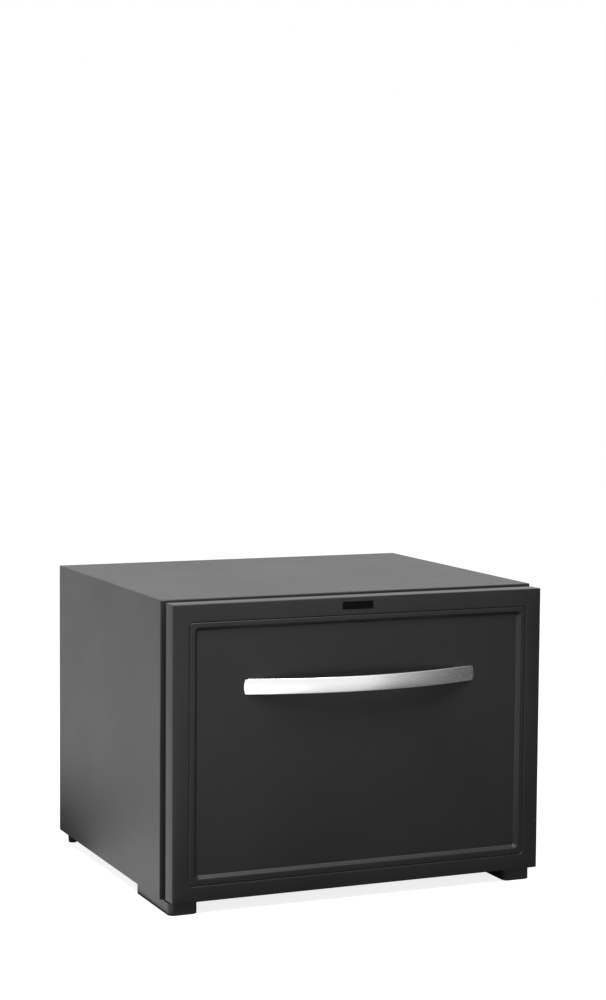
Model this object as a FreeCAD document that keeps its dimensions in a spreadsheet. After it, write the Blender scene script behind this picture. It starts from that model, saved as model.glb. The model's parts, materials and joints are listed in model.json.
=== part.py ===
import FreeCAD, Part
import math
import os
import re
import Sketcher

# Hotel minibar with a drawer front and an absorption cooling unit at the back.
# Millimetres, +Z up, the drawer front faces -Y, origin at the middle of the footprint.

vec = FreeCAD.Vector
doc = FreeCAD.newDocument("Minibar")

# ---------------------------------------------------------------- driving sizes
sizes = {
    # cabinet
    "cabinet_w": 537.4,
    "cabinet_d": 429,
    "cabinet_h": 388.5,
    "sheet_t": 0.8,
    "fold_r": 1.5,
    "lip_w": 22,
    "rear_lip_w": 12,
    "fit_gap": 0.2,
    "foot_h": 16,
    # cooled space
    "side_wall": 36.2,
    "top_wall": 36.5,
    "floor_wall": 35.5,
    "back_wall": 34.4,
    "bay_d": 82,
    "liner_t": 1.6,
    "liner_r": 10,
    # drawer front
    "door_side_gap": 3.7,
    "door_drop": 2.5,
    "door_t": 25.5,
    "door_lift": 2,
    "seal_gap": 11,
    "shell_t": 2.5,
    "edge_r": 1,
    "groove_side": 22.5,
    "groove_top": 23.5,
    "groove_foot": 20.5,
    "groove_r": 5.5,
    "groove_gap": 0.3,
    "groove_bevel": 0.6,
    "frame_t": 8,
    "rim_inset": 30,
    "rim_foot": 29,
    "rim_r": 6,
    "panel_recess": 4.4,
    "slope_run": 4.5,
    "panel_tuck": 8,
    "badge_w": 44,
    "badge_h": 10,
    "badge_t": 0.8,
    "badge_r": 1.2,
    "badge_x": -8,
    "badge_drop": 10.7,
    # handle
    "handle_span": 332,
    "handle_rise": 30,
    "handle_h": 20.4,
    "handle_t": 6.5,
    "handle_dome": 0.7,
    "handle_drop": 110.5,
    "handle_end": 22,
    "handle_thread": 3.8,
    "screw_r": 2,
    "head_r": 3.8,
    "head_t": 2.2,
    "flat_head_r": 3.2,
    "screw_bite": 12,
    "hole_spare": 1,
    # inner door
    "plinth_in": 8,
    "plinth_gap": 7,
    "plinth_r": 14,
    "gasket_w": 14,
    "gasket_inset": 4,
    "gasket_gap": 0.25,
    # telescopic slides
    "slide_h": 45,
    "slide_w": 12.7,
    "slide_t": 1.2,
    "slide_lip": 1.7,
    "slide_rise": 10,
    "slide_setback": 10,
    "slide_end": 2.6,
    "ball_r": 1.5,
    "ball_gap": 0.05,
    "ball_pitch": 50,
    "cage_t": 0.5,
    "cage_len": 120,
    # bin and its carriers
    "carrier_t": 1.5,
    "carrier_seat": 20,
    "carrier_rise": 0.7,
    "tab_screw_in": 10,
    "tab_screw_end": 12,
    "bin_t": 2.4,
    "bin_side": 1.5,
    "bin_front": 4.5,
    "bin_back": 10,
    "bin_top": 5,
    "bin_rim": 6,
    "bin_rim_t": 3,
    "bin_r": 12,
    "bin_taper": 3.4,
    "rib_w": 3,
    "rib_h": 1.5,
    "rib_count": 5,
    "divider_t": 2,
    "divider_x": 70,
    "divider_gap": 0.5,
    # evaporator and drain
    "evap_w": 210,
    "evap_h": 140,
    "evap_t": 3,
    "evap_drop": 20,
    "evap_screw_in": 11,
    "evap_fin_in": 20,
    "evap_fin_pitch": 15,
    "fin_d": 18,
    "fin_t": 1.2,
    "gutter_w": 24,
    "gutter_h": 12,
    "gutter_t": 1.4,
    "drain_r": 4.5,
    "drain_wall": 1,
    # control housing
    "control_w": 130,
    "control_h": 28,
    "control_d": 60,
    "control_set": 35,
    "control_in": 62.5,
    "knob_r": 13,
    "knob_t": 9,
    "knob_lift": 0.3,
    "knob_shaft": 3,
    "knob_fit": 0.08,
    "knob_in": 8,
    "knob_ridge": 1.5,
    "lens_in": 8,
    "lens_w": 60,
    "lens_d": 30,
    "lens_t": 3,
    # cooling unit
    "pipe_r": 8,
    "pipe_out": 38,
    "pipe_bend": 16,
    "pipe_split": 22,
    "pipe_drop": 30,
    "pipe_tail": 4,
    "coil_low": 38,
    "coil_drop": 42,
    "coil_turn": 0.38,
    "condenser_drop": 40,
    "condenser_in": 63.7,
    "cold_fin_t": 1,
    "cold_fin_pitch": 20,
    "fin_depth": 56,
    "fin_tall": 44,
    "vessel_r": 30,
    "vessel_in": 68.7,
    "vessel_z": 82,
    "vessel_bevel": 10,
    "exchanger_len": 72,
    "exchanger_r": 10,
    "boiler_w": 76,
    "boiler_d": 70,
    "boiler_drop": 48.5,
    "boiler_in": 78.7,
    "boiler_z": 66,
    "boiler_r": 12,
    "unit_plate_w": 230,
    "unit_plate_t": 1.5,
    "unit_plate_over": 10,
    "unit_screw_in": 8,
    "bracket_t": 2,
    "bracket_drop": 4,
    "tray_w": 70,
    "tray_d": 22,
    "tray_h": 18,
    "tray_gap": 6,
    "box_in": 15.7,
    "box_w": 40,
    "box_h": 96,
    "box_d": 44,
    "box_corner": 4,
    "gland_r": 3.6,
    "gland_wall": 3,
    "gland_in": 11,
    "gland_out": 12,
    "gland_nut": 4,
    "gland_rise": 20,
    # feet
    "foot_w": 39.5,
    "foot_len": 124,
    "foot_r": 8,
    "foot_edge": 1.8,
    "foot_reach": 26.4,
    "foot_left": 3.7,
    "foot_right": 8.2,
    "foot_screw_x": 12,
    "plug_r": 7.2,
    "plug_bevel": 1.4,
    "plug_side": 14,
    "plug_back": 18,
    "stem_r": 3,
    "stem_len": 3,
}

sheet = doc.addObject("Spreadsheet::Sheet", "Dims")
for row, (word, number) in enumerate(sizes.items(), start=1):
    sheet.set(f"A{row}", word)
    sheet.set(f"B{row}", str(number))
    sheet.setAlias(f"B{row}", word)
doc.recompute()


# ---------------------------------------------------------------- helpers
def bound(text):
    """Expression text with the sheet's name before each of its words."""
    return re.sub(r"\b[a-z]\w*\b", lambda m: ("Dims." if m.group() in sizes else "") + m.group(), text)


def size(text):
    """Number that an expression gives now."""
    return float(sheet.evalExpression(bound(text)))


def place(thing, x="0", y="0", z="0"):
    for axis, text in zip("xyz", (x, y, z)):
        thing.setExpression("Placement.Base." + axis, bound(text))


def body(label):
    made = doc.addObject("PartDesign::Body", label)
    made.Label = label
    return made


# A sketch on the front plane reads X, Z at a given y; plan reads X, Y at a z; side reads Y, Z at an x.
planes = {"front": ("XZ_Plane", -1), "plan": ("XY_Plane", 1), "side": ("YZ_Plane", 1)}


def sketch(made, view, at, *loops, origin=None):
    role, sign = planes[view]
    drawn = made.newObject("Sketcher::SketchObject", made.Label + "_sketch")
    support = next(f for f in made.Origin.OriginFeatures if f.Role == role)
    drawn.AttachmentSupport = [(support, "")]
    drawn.MapMode = "FlatFace"
    drawn.setExpression("AttachmentOffset.Base.z", bound(f"{sign} * ({at})"))
    if origin:
        drawn.setExpression("AttachmentOffset.Base.x", bound(origin))
    for loop in loops:
        loop(drawn)
    return drawn


def bind(drawn, rules):
    """Adds constraints; each rule is (constraint parts, expression or None)."""
    first = drawn.ConstraintCount
    made = []
    for parts, text in rules:
        made.append(Sketcher.Constraint(*parts, size(text)) if text else Sketcher.Constraint(*parts))
    drawn.addConstraint(made)
    for k, (parts, text) in enumerate(rules):
        if text:
            drawn.setExpression(f"Constraints[{first + k}]", bound(text))


def pinned(geo, point, u, v):
    return [(("DistanceX", -1, 1, geo, point), u), (("DistanceY", -1, 1, geo, point), v)]


def polygon(points):
    """Closed outline through points, each a pair of expressions."""
    def draw(drawn):
        spots = [vec(size(u), size(v), 0) for u, v in points]
        count = len(spots)
        first = drawn.GeometryCount
        for i in range(count):
            drawn.addGeometry(Part.LineSegment(spots[i], spots[(i + 1) % count]), False)
        rules = [(("Coincident", first + i, 2, first + (i + 1) % count, 1), None) for i in range(count)]
        for i, (u, v) in enumerate(points):
            rules += pinned(first + i, 1, u, v)
        bind(drawn, rules)
    return draw


def rectangle(u0, u1, v0, v1):
    return polygon([(u0, v0), (u1, v0), (u1, v1), (u0, v1)])


def rounded(u0, u1, v0, v1, r):
    """Rectangle with four round corners."""
    def draw(drawn):
        ends = [
            ((f"{u0} + {r}", v0), (f"{u1} - {r}", v0)),
            ((u1, f"{v0} + {r}"), (u1, f"{v1} - {r}")),
            ((f"{u1} - {r}", v1), (f"{u0} + {r}", v1)),
            ((u0, f"{v1} - {r}"), (u0, f"{v0} + {r}")),
        ]
        middles = [
            (f"{u1} - {r}", f"{v0} + {r}"), (f"{u1} - {r}", f"{v1} - {r}"),
            (f"{u0} + {r}", f"{v1} - {r}"), (f"{u0} + {r}", f"{v0} + {r}"),
        ]
        first = drawn.GeometryCount
        rules = []
        for i, pair in enumerate(ends):
            a, b = (vec(size(u), size(v), 0) for u, v in pair)
            drawn.addGeometry(Part.LineSegment(a, b), False)
            rules += pinned(first + i, 1, *pair[0]) + pinned(first + i, 2, *pair[1])
        for i, (u, v) in enumerate(middles):
            turn = math.radians(270 + 90 * i)
            circle = Part.Circle(vec(size(u), size(v), 0), vec(0, 0, 1), size(r))
            drawn.addGeometry(Part.ArcOfCircle(circle, turn, turn + math.pi / 2), False)
            arc = first + 4 + i
            rules += [
                (("Coincident", first + i, 2, arc, 1), None),
                (("Coincident", arc, 2, first + (i + 1) % 4, 1), None),
                (("Radius", arc), r),
            ]
        bind(drawn, rules)
    return draw


def clipped(u0, u1, v0, v1, r):
    """Rectangle with corners cut at 45 degrees, each just clear of a round corner of radius r."""
    c = f"((2 - sqrt(2)) * {r})"
    return polygon([
        (f"{u0} + {c}", v0), (f"{u1} - {c}", v0), (u1, f"{v0} + {c}"), (u1, f"{v1} - {c}"),
        (f"{u1} - {c}", v1), (f"{u0} + {c}", v1), (u0, f"{v1} - {c}"), (u0, f"{v0} + {c}"),
    ])


def ring(u, v, r, sides=6):
    """Regular outline with its corners on a circle, for hidden holes and for pipes."""
    turns = [2 * math.pi * k / sides for k in range(sides)]
    return polygon([(f"({u} + {math.cos(t):.5f} * {r})", f"({v} + {math.sin(t):.5f} * {r})") for t in turns])


def circle(u, v, r):
    def draw(drawn):
        first = drawn.GeometryCount
        drawn.addGeometry(Part.Circle(vec(size(u), size(v), 0), vec(0, 0, 1), size(r)), False)
        bind(drawn, pinned(first, 3, u, v) + [(("Radius", first), r)])
    return draw


bend_angles = [math.radians(a) for a in (15, 45, 75)]


def route(corners, r):
    """Open path along one axis at a time; each corner is a bend of radius r in three mitres."""
    spots = [vec(size(u), size(v), 0) for u, v in corners]
    heads = [(b - a).normalize() for a, b in zip(spots, spots[1:])]
    points = [corners[0]]
    for (u, v), heading, after in zip(corners[1:], heads, heads[1:]):
        for a in bend_angles:
            shift = after - heading + (heading * math.sin(a) - after * math.cos(a)) / math.cos(bend_angles[0])
            points.append((f"({u} + {shift.x:.5f} * {r})", f"({v} + {shift.y:.5f} * {r})"))
    points.append(corners[-1])

    def draw(drawn):
        ends = [vec(size(u), size(v), 0) for u, v in points]
        rules = []
        for i, (a, b) in enumerate(zip(ends, ends[1:])):
            drawn.addGeometry(Part.LineSegment(a, b), False)
            rules += pinned(i, 1, *points[i])
            if i:
                rules.append((("Coincident", i - 1, 2, i, 1), None))
        rules += pinned(len(ends) - 2, 2, *points[-1])
        bind(drawn, rules)
    return draw


def pad(made, drawn, length, along=1, both=False):
    """Pad towards the positive (along=1) or negative world axis, or both ways."""
    raised = made.newObject("PartDesign::Pad", made.Label + "_pad")
    raised.Profile = drawn
    raised.setExpression("Length", bound(length))
    sign = -1 if drawn.AttachmentSupport[0][0].Role == "XZ_Plane" else 1
    raised.Reversed = along * sign < 0
    raised.Midplane = both
    return raised


def pocket(made, drawn, length, along=1, both=False):
    cut = made.newObject("PartDesign::Pocket", made.Label + "_pocket")
    cut.Profile = drawn
    cut.setExpression("Length", bound(length))
    sign = -1 if drawn.AttachmentSupport[0][0].Role == "XZ_Plane" else 1
    cut.Reversed = along * sign > 0
    cut.Midplane = both
    return cut


def loft(made, first, last, kind="PartDesign::SubtractiveLoft"):
    shaped = made.newObject(kind, made.Label + "_loft")
    shaped.Profile = first
    shaped.Sections = [last]
    shaped.Ruled = True
    return shaped


def pipe(made, profile, path):
    swept = made.newObject("PartDesign::AdditivePipe", made.Label + "_pipe")
    swept.Profile = profile
    swept.Spine = path
    swept.Transition = "Right corner"
    return swept


def spin(made, drawn):
    """Full turn of an outline about its sketch's upright axis."""
    turned_solid = made.newObject("PartDesign::Revolution", made.Label + "_spin")
    turned_solid.Profile = drawn
    turned_solid.ReferenceAxis = (drawn, ["V_Axis"])
    turned_solid.Angle = 360
    return turned_solid


def row_along(made, feature, axis, length, count):
    spread = made.newObject("PartDesign::LinearPattern", made.Label + "_row")
    spread.Originals = [feature]
    line = next(f for f in made.Origin.OriginFeatures if f.Role == axis + "_Axis")
    spread.Direction = (line, [""])
    spread.setExpression("Length", bound(length))
    spread.setExpression("Occurrences", bound(count))
    made.Tip = spread
    return spread


def soften(made, radius, pick, bevel=False):
    """Fillet or chamfer on the edges of the body's tip that pick accepts, by their bounds."""
    doc.recompute()
    base = made.Tip
    chosen = [f"Edge{i}" for i, e in enumerate(base.Shape.Edges, start=1) if pick(e.BoundBox)]
    if not chosen:
        raise RuntimeError(f"{made.Label}: no edge to soften")
    eased = made.newObject("PartDesign::Chamfer" if bevel else "PartDesign::Fillet", made.Label + "_edges")
    eased.Base = (base, chosen)
    eased.setExpression("Size" if bevel else "Radius", bound(radius))
    return eased


def near(a, b):
    return abs(a - b) < 0.01


def flat(box, axis, at=None):
    """True for an edge that lies in a plane across the axis, at a place if one is given."""
    low, high = getattr(box, axis + "Min"), getattr(box, axis + "Max")
    return near(low, high) and (at is None or near(low, at))


def runs(box, axis):
    """True for a straight edge along the axis."""
    return all(flat(box, other) for other in "XYZ" if other != axis)


turned = {  # rotations that point a prism's own axis along a world axis, with a corner level with its centre
    "+Z": FreeCAD.Rotation(),
    "-Z": FreeCAD.Rotation(vec(1, 0, 0), 180),
    "+Y": FreeCAD.Rotation(vec(1, 0, 0), -90),
    "-Y": FreeCAD.Rotation(vec(1, 0, 0), 90),
    "+X": FreeCAD.Rotation(vec(1, 1, 1), 120),
    "-X": FreeCAD.Rotation(vec(-1, -1, 1), 120),
}


def prism(name, sides, r, length, heading, x, y, z):
    made = doc.addObject("Part::Prism", name)
    made.Polygon = sides
    made.setExpression("Circumradius", bound(r))
    made.setExpression("Height", bound(length))
    made.Placement = FreeCAD.Placement(vec(), turned[heading])
    place(made, x, y, z)
    return made


def screw(name, heading, x, y, z, length, head_size=("head_r", "head_t")):
    """Screw whose shank leaves the seat at x, y, z along heading; the head stands on the other side."""
    shank = prism(name + "_shank", 6, "screw_r", length, heading, x, y, z)
    back = heading.translate(str.maketrans("+-", "-+"))
    head = prism(name + "_head", 6, *head_size, back, x, y, z)
    whole = doc.addObject("Part::Fuse", name)
    whole.Base = shank
    whole.Tool = head
    return whole


def group(label, members):
    made = doc.addObject("Part::Compound", label)
    made.Label = label
    made.Links = members
    return made


# ---------------------------------------------------------------- shared places
front = "((handle_rise - panel_recess + door_t + seal_gap - cabinet_d) / 2)"
back = f"({front} + cabinet_d)"
bottom = "foot_h"
top = "(foot_h + cabinet_h)"
half_w = "(cabinet_w / 2)"
inside_w = f"({half_w} - sheet_t)"

room_side = f"({half_w} - side_wall)"
room_floor = "(foot_h + floor_wall)"
room_top = f"({top} - top_wall)"
back_face = f"({back} - bay_d)"
room_back = f"({back_face} - back_wall)"
room_d = f"({room_back} - {front})"

door_back = f"({front} - seal_gap)"
door_front = f"({door_back} - door_t)"
panel_face = f"({door_front} + panel_recess)"
frame_back = f"({door_front} + frame_t)"
door_side = f"({half_w} - door_side_gap)"
door_low = "(foot_h + door_lift)"
door_top = f"({top} - door_drop)"
handle_z = f"({door_top} - handle_drop)"
handle_screw_x = "(handle_span / 2 - handle_end)"

plinth_back = f"({front} + plinth_in)"
plinth_side = f"({room_side} - plinth_gap)"
plinth_low = f"({room_floor} + plinth_gap)"
plinth_top = f"({room_top} - plinth_gap)"

slide_low = f"({room_floor} + slide_rise)"
slide_z = f"({slide_low} + slide_h / 2)"
slide_front = f"({front} + slide_setback)"
slide_len = f"({room_d} - slide_setback - slide_end)"
slide_mid = f"({slide_front} + {slide_len} / 2)"
slide_screws_y = [f"({slide_front} + {slide_len} * {share})" for share in (0.12, 0.88)]

evap_top = f"({room_top} - evap_drop)"
evap_low = f"({evap_top} - evap_h)"
evap_face = f"({room_back} - evap_t)"
gutter_top = f"({evap_low} - fit_gap)"
gutter_low = f"({gutter_top} - gutter_h)"
drain_x = "(gutter_h - evap_w / 2)"
drain_z = f"({gutter_low} + gutter_h / 2)"

carrier_out = f"({room_side} - slide_w)"
carrier_in = f"({carrier_out} - carrier_t)"
seat_edge = f"({carrier_out} - carrier_seat)"
bin_high = f"({gutter_low} - bin_top)"
carrier_top = f"({bin_high} + carrier_rise)"
bin_half = f"({carrier_in} - bin_side)"
bin_y0 = f"({plinth_back} + bin_front)"
bin_y1 = f"({room_back} - bin_back)"

pipe_y = f"({back_face} + pipe_out)"
pipe_z = f"({evap_top} - pipe_drop)"
condenser_z = f"({top} - condenser_drop)"
boiler_x = f"({half_w} - boiler_in)"
boiler_top = f"({condenser_z} - boiler_drop)"
condenser_end = f"(condenser_in - {half_w})"
vessel_x0 = f"(vessel_in - {half_w})"
vessel_x1 = f"({boiler_x} - boiler_w / 2 - exchanger_len)"
tray_z = "(vessel_z + vessel_r + tray_gap)"
drain_y = f"({back_face} + tray_d / 2)"

foot_y0 = f"({front} - foot_reach)"
foot_lefts = [(f"(foot_left - {half_w})", -1), (f"({half_w} - foot_right - foot_w)", 1)]
foot_screws_y = [f"({foot_y0} + foot_len * {share})" for share in (0.35, 0.8)]
plug_x = f"({half_w} - plug_side)"
plug_y = f"({back} - plug_back)"

screw_clear = "(screw_r + fit_gap)"
screw_run = "(screw_bite - hole_spare)"
sides = (("left", -1), ("right", 1))


def span(s, a, b):
    """Two mirrored places in rising order."""
    return (f"({s} * {a})", f"({s} * {b})") if s > 0 else (f"({s} * {b})", f"({s} * {a})")


def inset_door(side, low, high):
    """Limits of a rectangle set in from the drawer front's edges."""
    edge = f"({door_side} - {side})"
    return f"-{edge}", edge, f"({door_low} + {low})", f"({door_top} - {high})"


def grown(limits, by):
    u0, u1, v0, v1 = limits
    return f"({u0} - {by})", f"({u1} + {by})", f"({v0} - {by})", f"({v1} + {by})"


groove = inset_door("groove_side", "groove_foot", "groove_top")
rim = inset_door("rim_inset", "rim_foot", "rim_inset")
slope_foot = grown(rim, "-slope_run")
panel = grown(slope_foot, "panel_tuck")
plinth = (f"-{plinth_side}", plinth_side, plinth_low, plinth_top)
room = (f"-{room_side}", room_side, room_floor, room_top)
shell_inside = (f"-({door_side} - shell_t)", f"({door_side} - shell_t)",
                f"({door_low} + shell_t)", f"({door_top} - shell_t)")
unit_plate = ("(-unit_plate_w / 2)", "(unit_plate_w / 2)", evap_low, f"({evap_top} + unit_plate_over)")


def four_screws(limits, inset):
    """Places near the corners of a rectangle, left ones first."""
    u0, u1, v0, v1 = limits
    low, high = f"({v0} + {inset})", f"({v1} - {inset})"
    return [(u, v) for u in (f"({u0} + {inset})", f"({u1} - {inset})") for v in (low, high)]


evap_plate = ("(-evap_w / 2)", "(evap_w / 2)", evap_low, evap_top)
evap_screws = four_screws(evap_plate, "evap_screw_in")
unit_screws = four_screws(unit_plate, "unit_screw_in")
tab_screws_x = f"({carrier_in} - tab_screw_in)"
tab_screws_z = [f"({slide_low} + tab_screw_end)", f"({carrier_top} - 2 * tab_screw_end)"]
carrier_screws = [(f"({s} * {tab_screws_x})", z) for s in (-1, 1) for z in tab_screws_z]
wall_ways = [ring(f"({s} * pipe_split)", pipe_z, "(pipe_r + fit_gap)", 8) for s in (-1, 1)]
wall_ways.append(ring(drain_x, drain_z, "(drain_r + fit_gap)"))

parts = []


def keep(made):
    parts.append(made)
    return made


# ---------------------------------------------------------------- cabinet shell
def cabinet_wrap():
    """One folded sheet: sides and top, front lips, rear lips and floor returns."""
    made = body("cabinet_wrap")
    floor_top = f"({bottom} + sheet_t)"
    ceiling = f"({top} - sheet_t)"
    ret = f"({half_w} - lip_w)"
    folds = [
        (f"-{ret}", floor_top), (f"-{ret}", bottom), (f"-{half_w}", bottom), (f"-{half_w}", top),
        (half_w, top), (half_w, bottom), (ret, bottom), (ret, floor_top),
        (inside_w, floor_top), (inside_w, ceiling), (f"-{inside_w}", ceiling), (f"-{inside_w}", floor_top),
    ]
    pad(made, sketch(made, "front", front, polygon(folds)), "cabinet_d")
    for at, width in ((front, "lip_w"), (f"({back} - sheet_t)", "rear_lip_w")):
        lip = f"({half_w} - {width})"
        edge = [
            (f"-{inside_w}", floor_top), (f"-{inside_w}", ceiling),
            (inside_w, ceiling), (inside_w, floor_top),
            (lip, floor_top), (lip, f"({top} - {width})"),
            (f"-{lip}", f"({top} - {width})"), (f"-{lip}", floor_top),
        ]
        pad(made, sketch(made, "front", at, polygon(edge)), "sheet_t")
    left = foot_lefts[0][0]
    holes = [ring(f"{left} + foot_screw_x", y, screw_clear) for y in foot_screws_y]
    holes += [ring(f"({s} * {plug_x})", plug_y, "(stem_r + fit_gap / 2)") for s in (-1, 1)]
    pocket(made, sketch(made, "plan", bottom, *holes), "sheet_t")
    w, high, f = size(half_w), size(top), size(front)

    def outer_fold(box):
        side = flat(box, "X", -w) or flat(box, "X", w)
        crown = flat(box, "Z", high)
        return (runs(box, "Y") and side and crown) or (flat(box, "Y", f) and (side or crown))
    soften(made, "fold_r", outer_fold)
    keep(made)


def base_pan():
    made = body("base_pan")
    side = f"({half_w} - lip_w - fit_gap)"
    pad(made, sketch(made, "plan", bottom, rectangle(f"-{side}", side, front, back_face)), "sheet_t")
    lip = rectangle(f"-{side}", side, f"({bottom} + sheet_t)", f"({bottom} + lip_w)")
    pad(made, sketch(made, "front", front, lip), "sheet_t")
    left = foot_lefts[1][0]
    holes = [ring(f"{left} + foot_screw_x", y, screw_clear) for y in foot_screws_y]
    pocket(made, sketch(made, "plan", bottom, *holes), "sheet_t")
    keep(made)


def drill_sides(made):
    """Holes of the slide screws."""
    along = [ring(y, slide_z, screw_clear) for y in slide_screws_y]
    pocket(made, sketch(made, "side", "0", *along), f"2 * ({room_side} + screw_bite)", both=True)


def drill_back(made):
    """Holes of the evaporator screws, and the ways through for the pipes and the drain."""
    fixings = [ring(x, z, screw_clear) for x, z in evap_screws]
    pocket(made, sketch(made, "front", room_back, *fixings), "screw_bite")
    pocket(made, sketch(made, "front", room_back, *wall_ways), "back_wall")


def inner_liner():
    """Thermoformed box with a flange behind the front lips."""
    made = body("inner_liner")
    start = f"({front} + sheet_t)"
    edge = f"({inside_w} - fit_gap)"
    flange = rectangle(f"-{edge}", edge, f"({bottom} + sheet_t + fit_gap)", f"({top} - sheet_t - fit_gap)")
    pad(made, sketch(made, "front", start, flange), "liner_t")
    outer = clipped(*grown(room, "liner_t"), "(liner_r + liner_t)")
    pad(made, sketch(made, "front", start, outer), f"{room_d} + liner_t - sheet_t")
    pocket(made, sketch(made, "front", start, rounded(*room, "liner_r")), f"{room_d} - sheet_t")
    drill_sides(made)
    drill_back(made)
    keep(made)


def insulation_foam():
    """Five foam slabs between the liner and the outer sheets."""
    start, end = f"({front} + sheet_t + liner_t)", f"({back_face} - sheet_t)"
    under, over = f"({bottom} + sheet_t)", f"({top} - sheet_t)"
    left, right, low, high = grown(room, "liner_t")
    u0, u1, v0, v1 = grown((left, right, low, high), "-fit_gap")
    limits = {
        "foam_floor": (f"-{inside_w}", inside_w, under, low),
        "foam_ceiling": (f"-{inside_w}", inside_w, high, over),
        "foam_left": (f"-{inside_w}", left, v0, v1),
        "foam_right": (right, inside_w, v0, v1),
    }
    slabs = []
    for label, edges in limits.items():
        made = body(label)
        pad(made, sketch(made, "front", start, rectangle(*edges)), f"{end} - {start}")
        slabs.append(made)
    feet = [ring(f"{x} + foot_screw_x", y, screw_clear) for x, s in foot_lefts for y in foot_screws_y]
    pocket(slabs[0], sketch(slabs[0], "plan", under, *feet), "screw_bite")
    drill_sides(slabs[2])
    drill_sides(slabs[3])
    rear = body("foam_back")
    face = f"({room_back} + liner_t)"
    pad(rear, sketch(rear, "front", face, rectangle(u0, u1, v0, v1)), f"{end} - {face}")
    drill_back(rear)
    fixings = [ring(x, z, screw_clear) for x, z in unit_screws]
    pocket(rear, sketch(rear, "front", end, *fixings), "screw_bite", along=-1)
    keep(group("insulation_foam", slabs + [rear]))


def back_panel():
    made = body("back_panel")
    face = rectangle(f"-{inside_w}", inside_w, f"({bottom} + sheet_t)", f"({top} - sheet_t)")
    fixings = [ring(x, z, screw_clear) for x, z in unit_screws]
    pad(made, sketch(made, "front", f"({back_face} - sheet_t)", face, *wall_ways, *fixings), "sheet_t")
    keep(made)


# ---------------------------------------------------------------- feet
def front_feet():
    """Two equal blocks that reach forward under the drawer front."""
    for (left, s), (side, _) in zip(foot_lefts, sides):
        made = body(f"front_foot_{side}")
        plan = rounded(left, f"({left} + foot_w)", foot_y0, f"({foot_y0} + foot_len)", "foot_r")
        pad(made, sketch(made, "plan", "0", plan), "foot_h")
        soften(made, "foot_edge", lambda box: flat(box, "Z", 0), bevel=True)
        x = f"{left} + foot_screw_x"
        through = [ring(x, y, screw_clear) for y in foot_screws_y]
        pocket(made, sketch(made, "plan", "0", *through), "foot_h")
        seats = [ring(x, y, "(head_r + fit_gap)") for y in foot_screws_y]
        pocket(made, sketch(made, "plan", "0", *seats), "foot_h / 2")
        keep(made)
    screws = []
    for left, s in foot_lefts:
        for y in foot_screws_y:
            name = f"foot_screw_{len(screws) + 1}"
            reach = f"foot_h / 2 + sheet_t + {screw_run}"
            screws.append(screw(name, "+Z", f"{left} + foot_screw_x", y, "foot_h / 2", reach))
    keep(group("foot_screws", screws))


def rear_feet():
    """Twelve-sided plugs with bevelled soles, pressed into the floor returns."""
    for side, s in sides:
        made = body(f"rear_foot_{side}")
        pad(made, sketch(made, "plan", "0", ring("0", "0", "plug_r", 12)), "foot_h")
        soften(made, "plug_bevel", lambda box: flat(box, "Z", 0), bevel=True)
        pad(made, sketch(made, "plan", "foot_h", ring("0", "0", "stem_r")), "stem_len")
        place(made, f"({s} * {plug_x})", plug_y)
        keep(made)


# ---------------------------------------------------------------- drawer front
def door_shell():
    """Moulded outer shell with the large window for the panel and its frame."""
    made = body("door_shell")
    edge = (f"-{door_side}", door_side, door_low, door_top)
    face = sketch(made, "front", door_front, rounded(*edge, "edge_r"), rounded(*groove, "groove_r"))
    pad(made, face, "shell_t")
    start = f"({door_front} + shell_t)"
    skirt = sketch(made, "front", start, rounded(*edge, "edge_r"), rectangle(*shell_inside))
    pad(made, skirt, "door_t - shell_t")
    f = size(door_front)
    soften(made, "groove_bevel", lambda box: flat(box, "Y", f), bevel=True)
    keep(made)


def panel_frame():
    """Frame inside the groove, with the sloped wall of the recess."""
    made = body("panel_frame")
    outline = rounded(*grown(groove, "-groove_gap"), "(groove_r - groove_gap)")
    pad(made, sketch(made, "front", door_front, outline), "frame_t")
    mouth = sketch(made, "front", door_front, rounded(*rim, "rim_r"))
    foot = sketch(made, "front", panel_face, rounded(*slope_foot, "(rim_r / 2)"))
    loft(made, mouth, foot)
    pocket(made, sketch(made, "front", panel_face, clipped(*panel, "rim_r")), "frame_t - panel_recess")
    f = size(door_front)
    reach = size(rim[1]) + 0.01
    soften(made, "groove_bevel", lambda box: flat(box, "Y", f) and (box.XMin < -reach or box.XMax > reach),
           bevel=True)
    keep(made)


def decor_panel():
    made = body("decor_panel")
    holes = [ring(f"({s} * {handle_screw_x})", handle_z, screw_clear) for s in (-1, 1)]
    outline = clipped(*grown(panel, "-fit_gap / 2"), "(rim_r - fit_gap / 2)")
    pad(made, sketch(made, "front", panel_face, outline, *holes), "frame_t - panel_recess")
    keep(made)


def badge_plate():
    made = body("badge_plate")
    z = f"({door_top} - badge_drop)"
    outline = clipped("(badge_x - badge_w / 2)", "(badge_x + badge_w / 2)",
                      f"({z} - badge_h / 2)", f"({z} + badge_h / 2)", "badge_r")
    pad(made, sketch(made, "front", door_front, outline), "badge_t", along=-1)
    keep(made)


bow_r = "((handle_span ^ 2 / 4 + handle_rise ^ 2) / (2 * handle_rise))"


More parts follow.
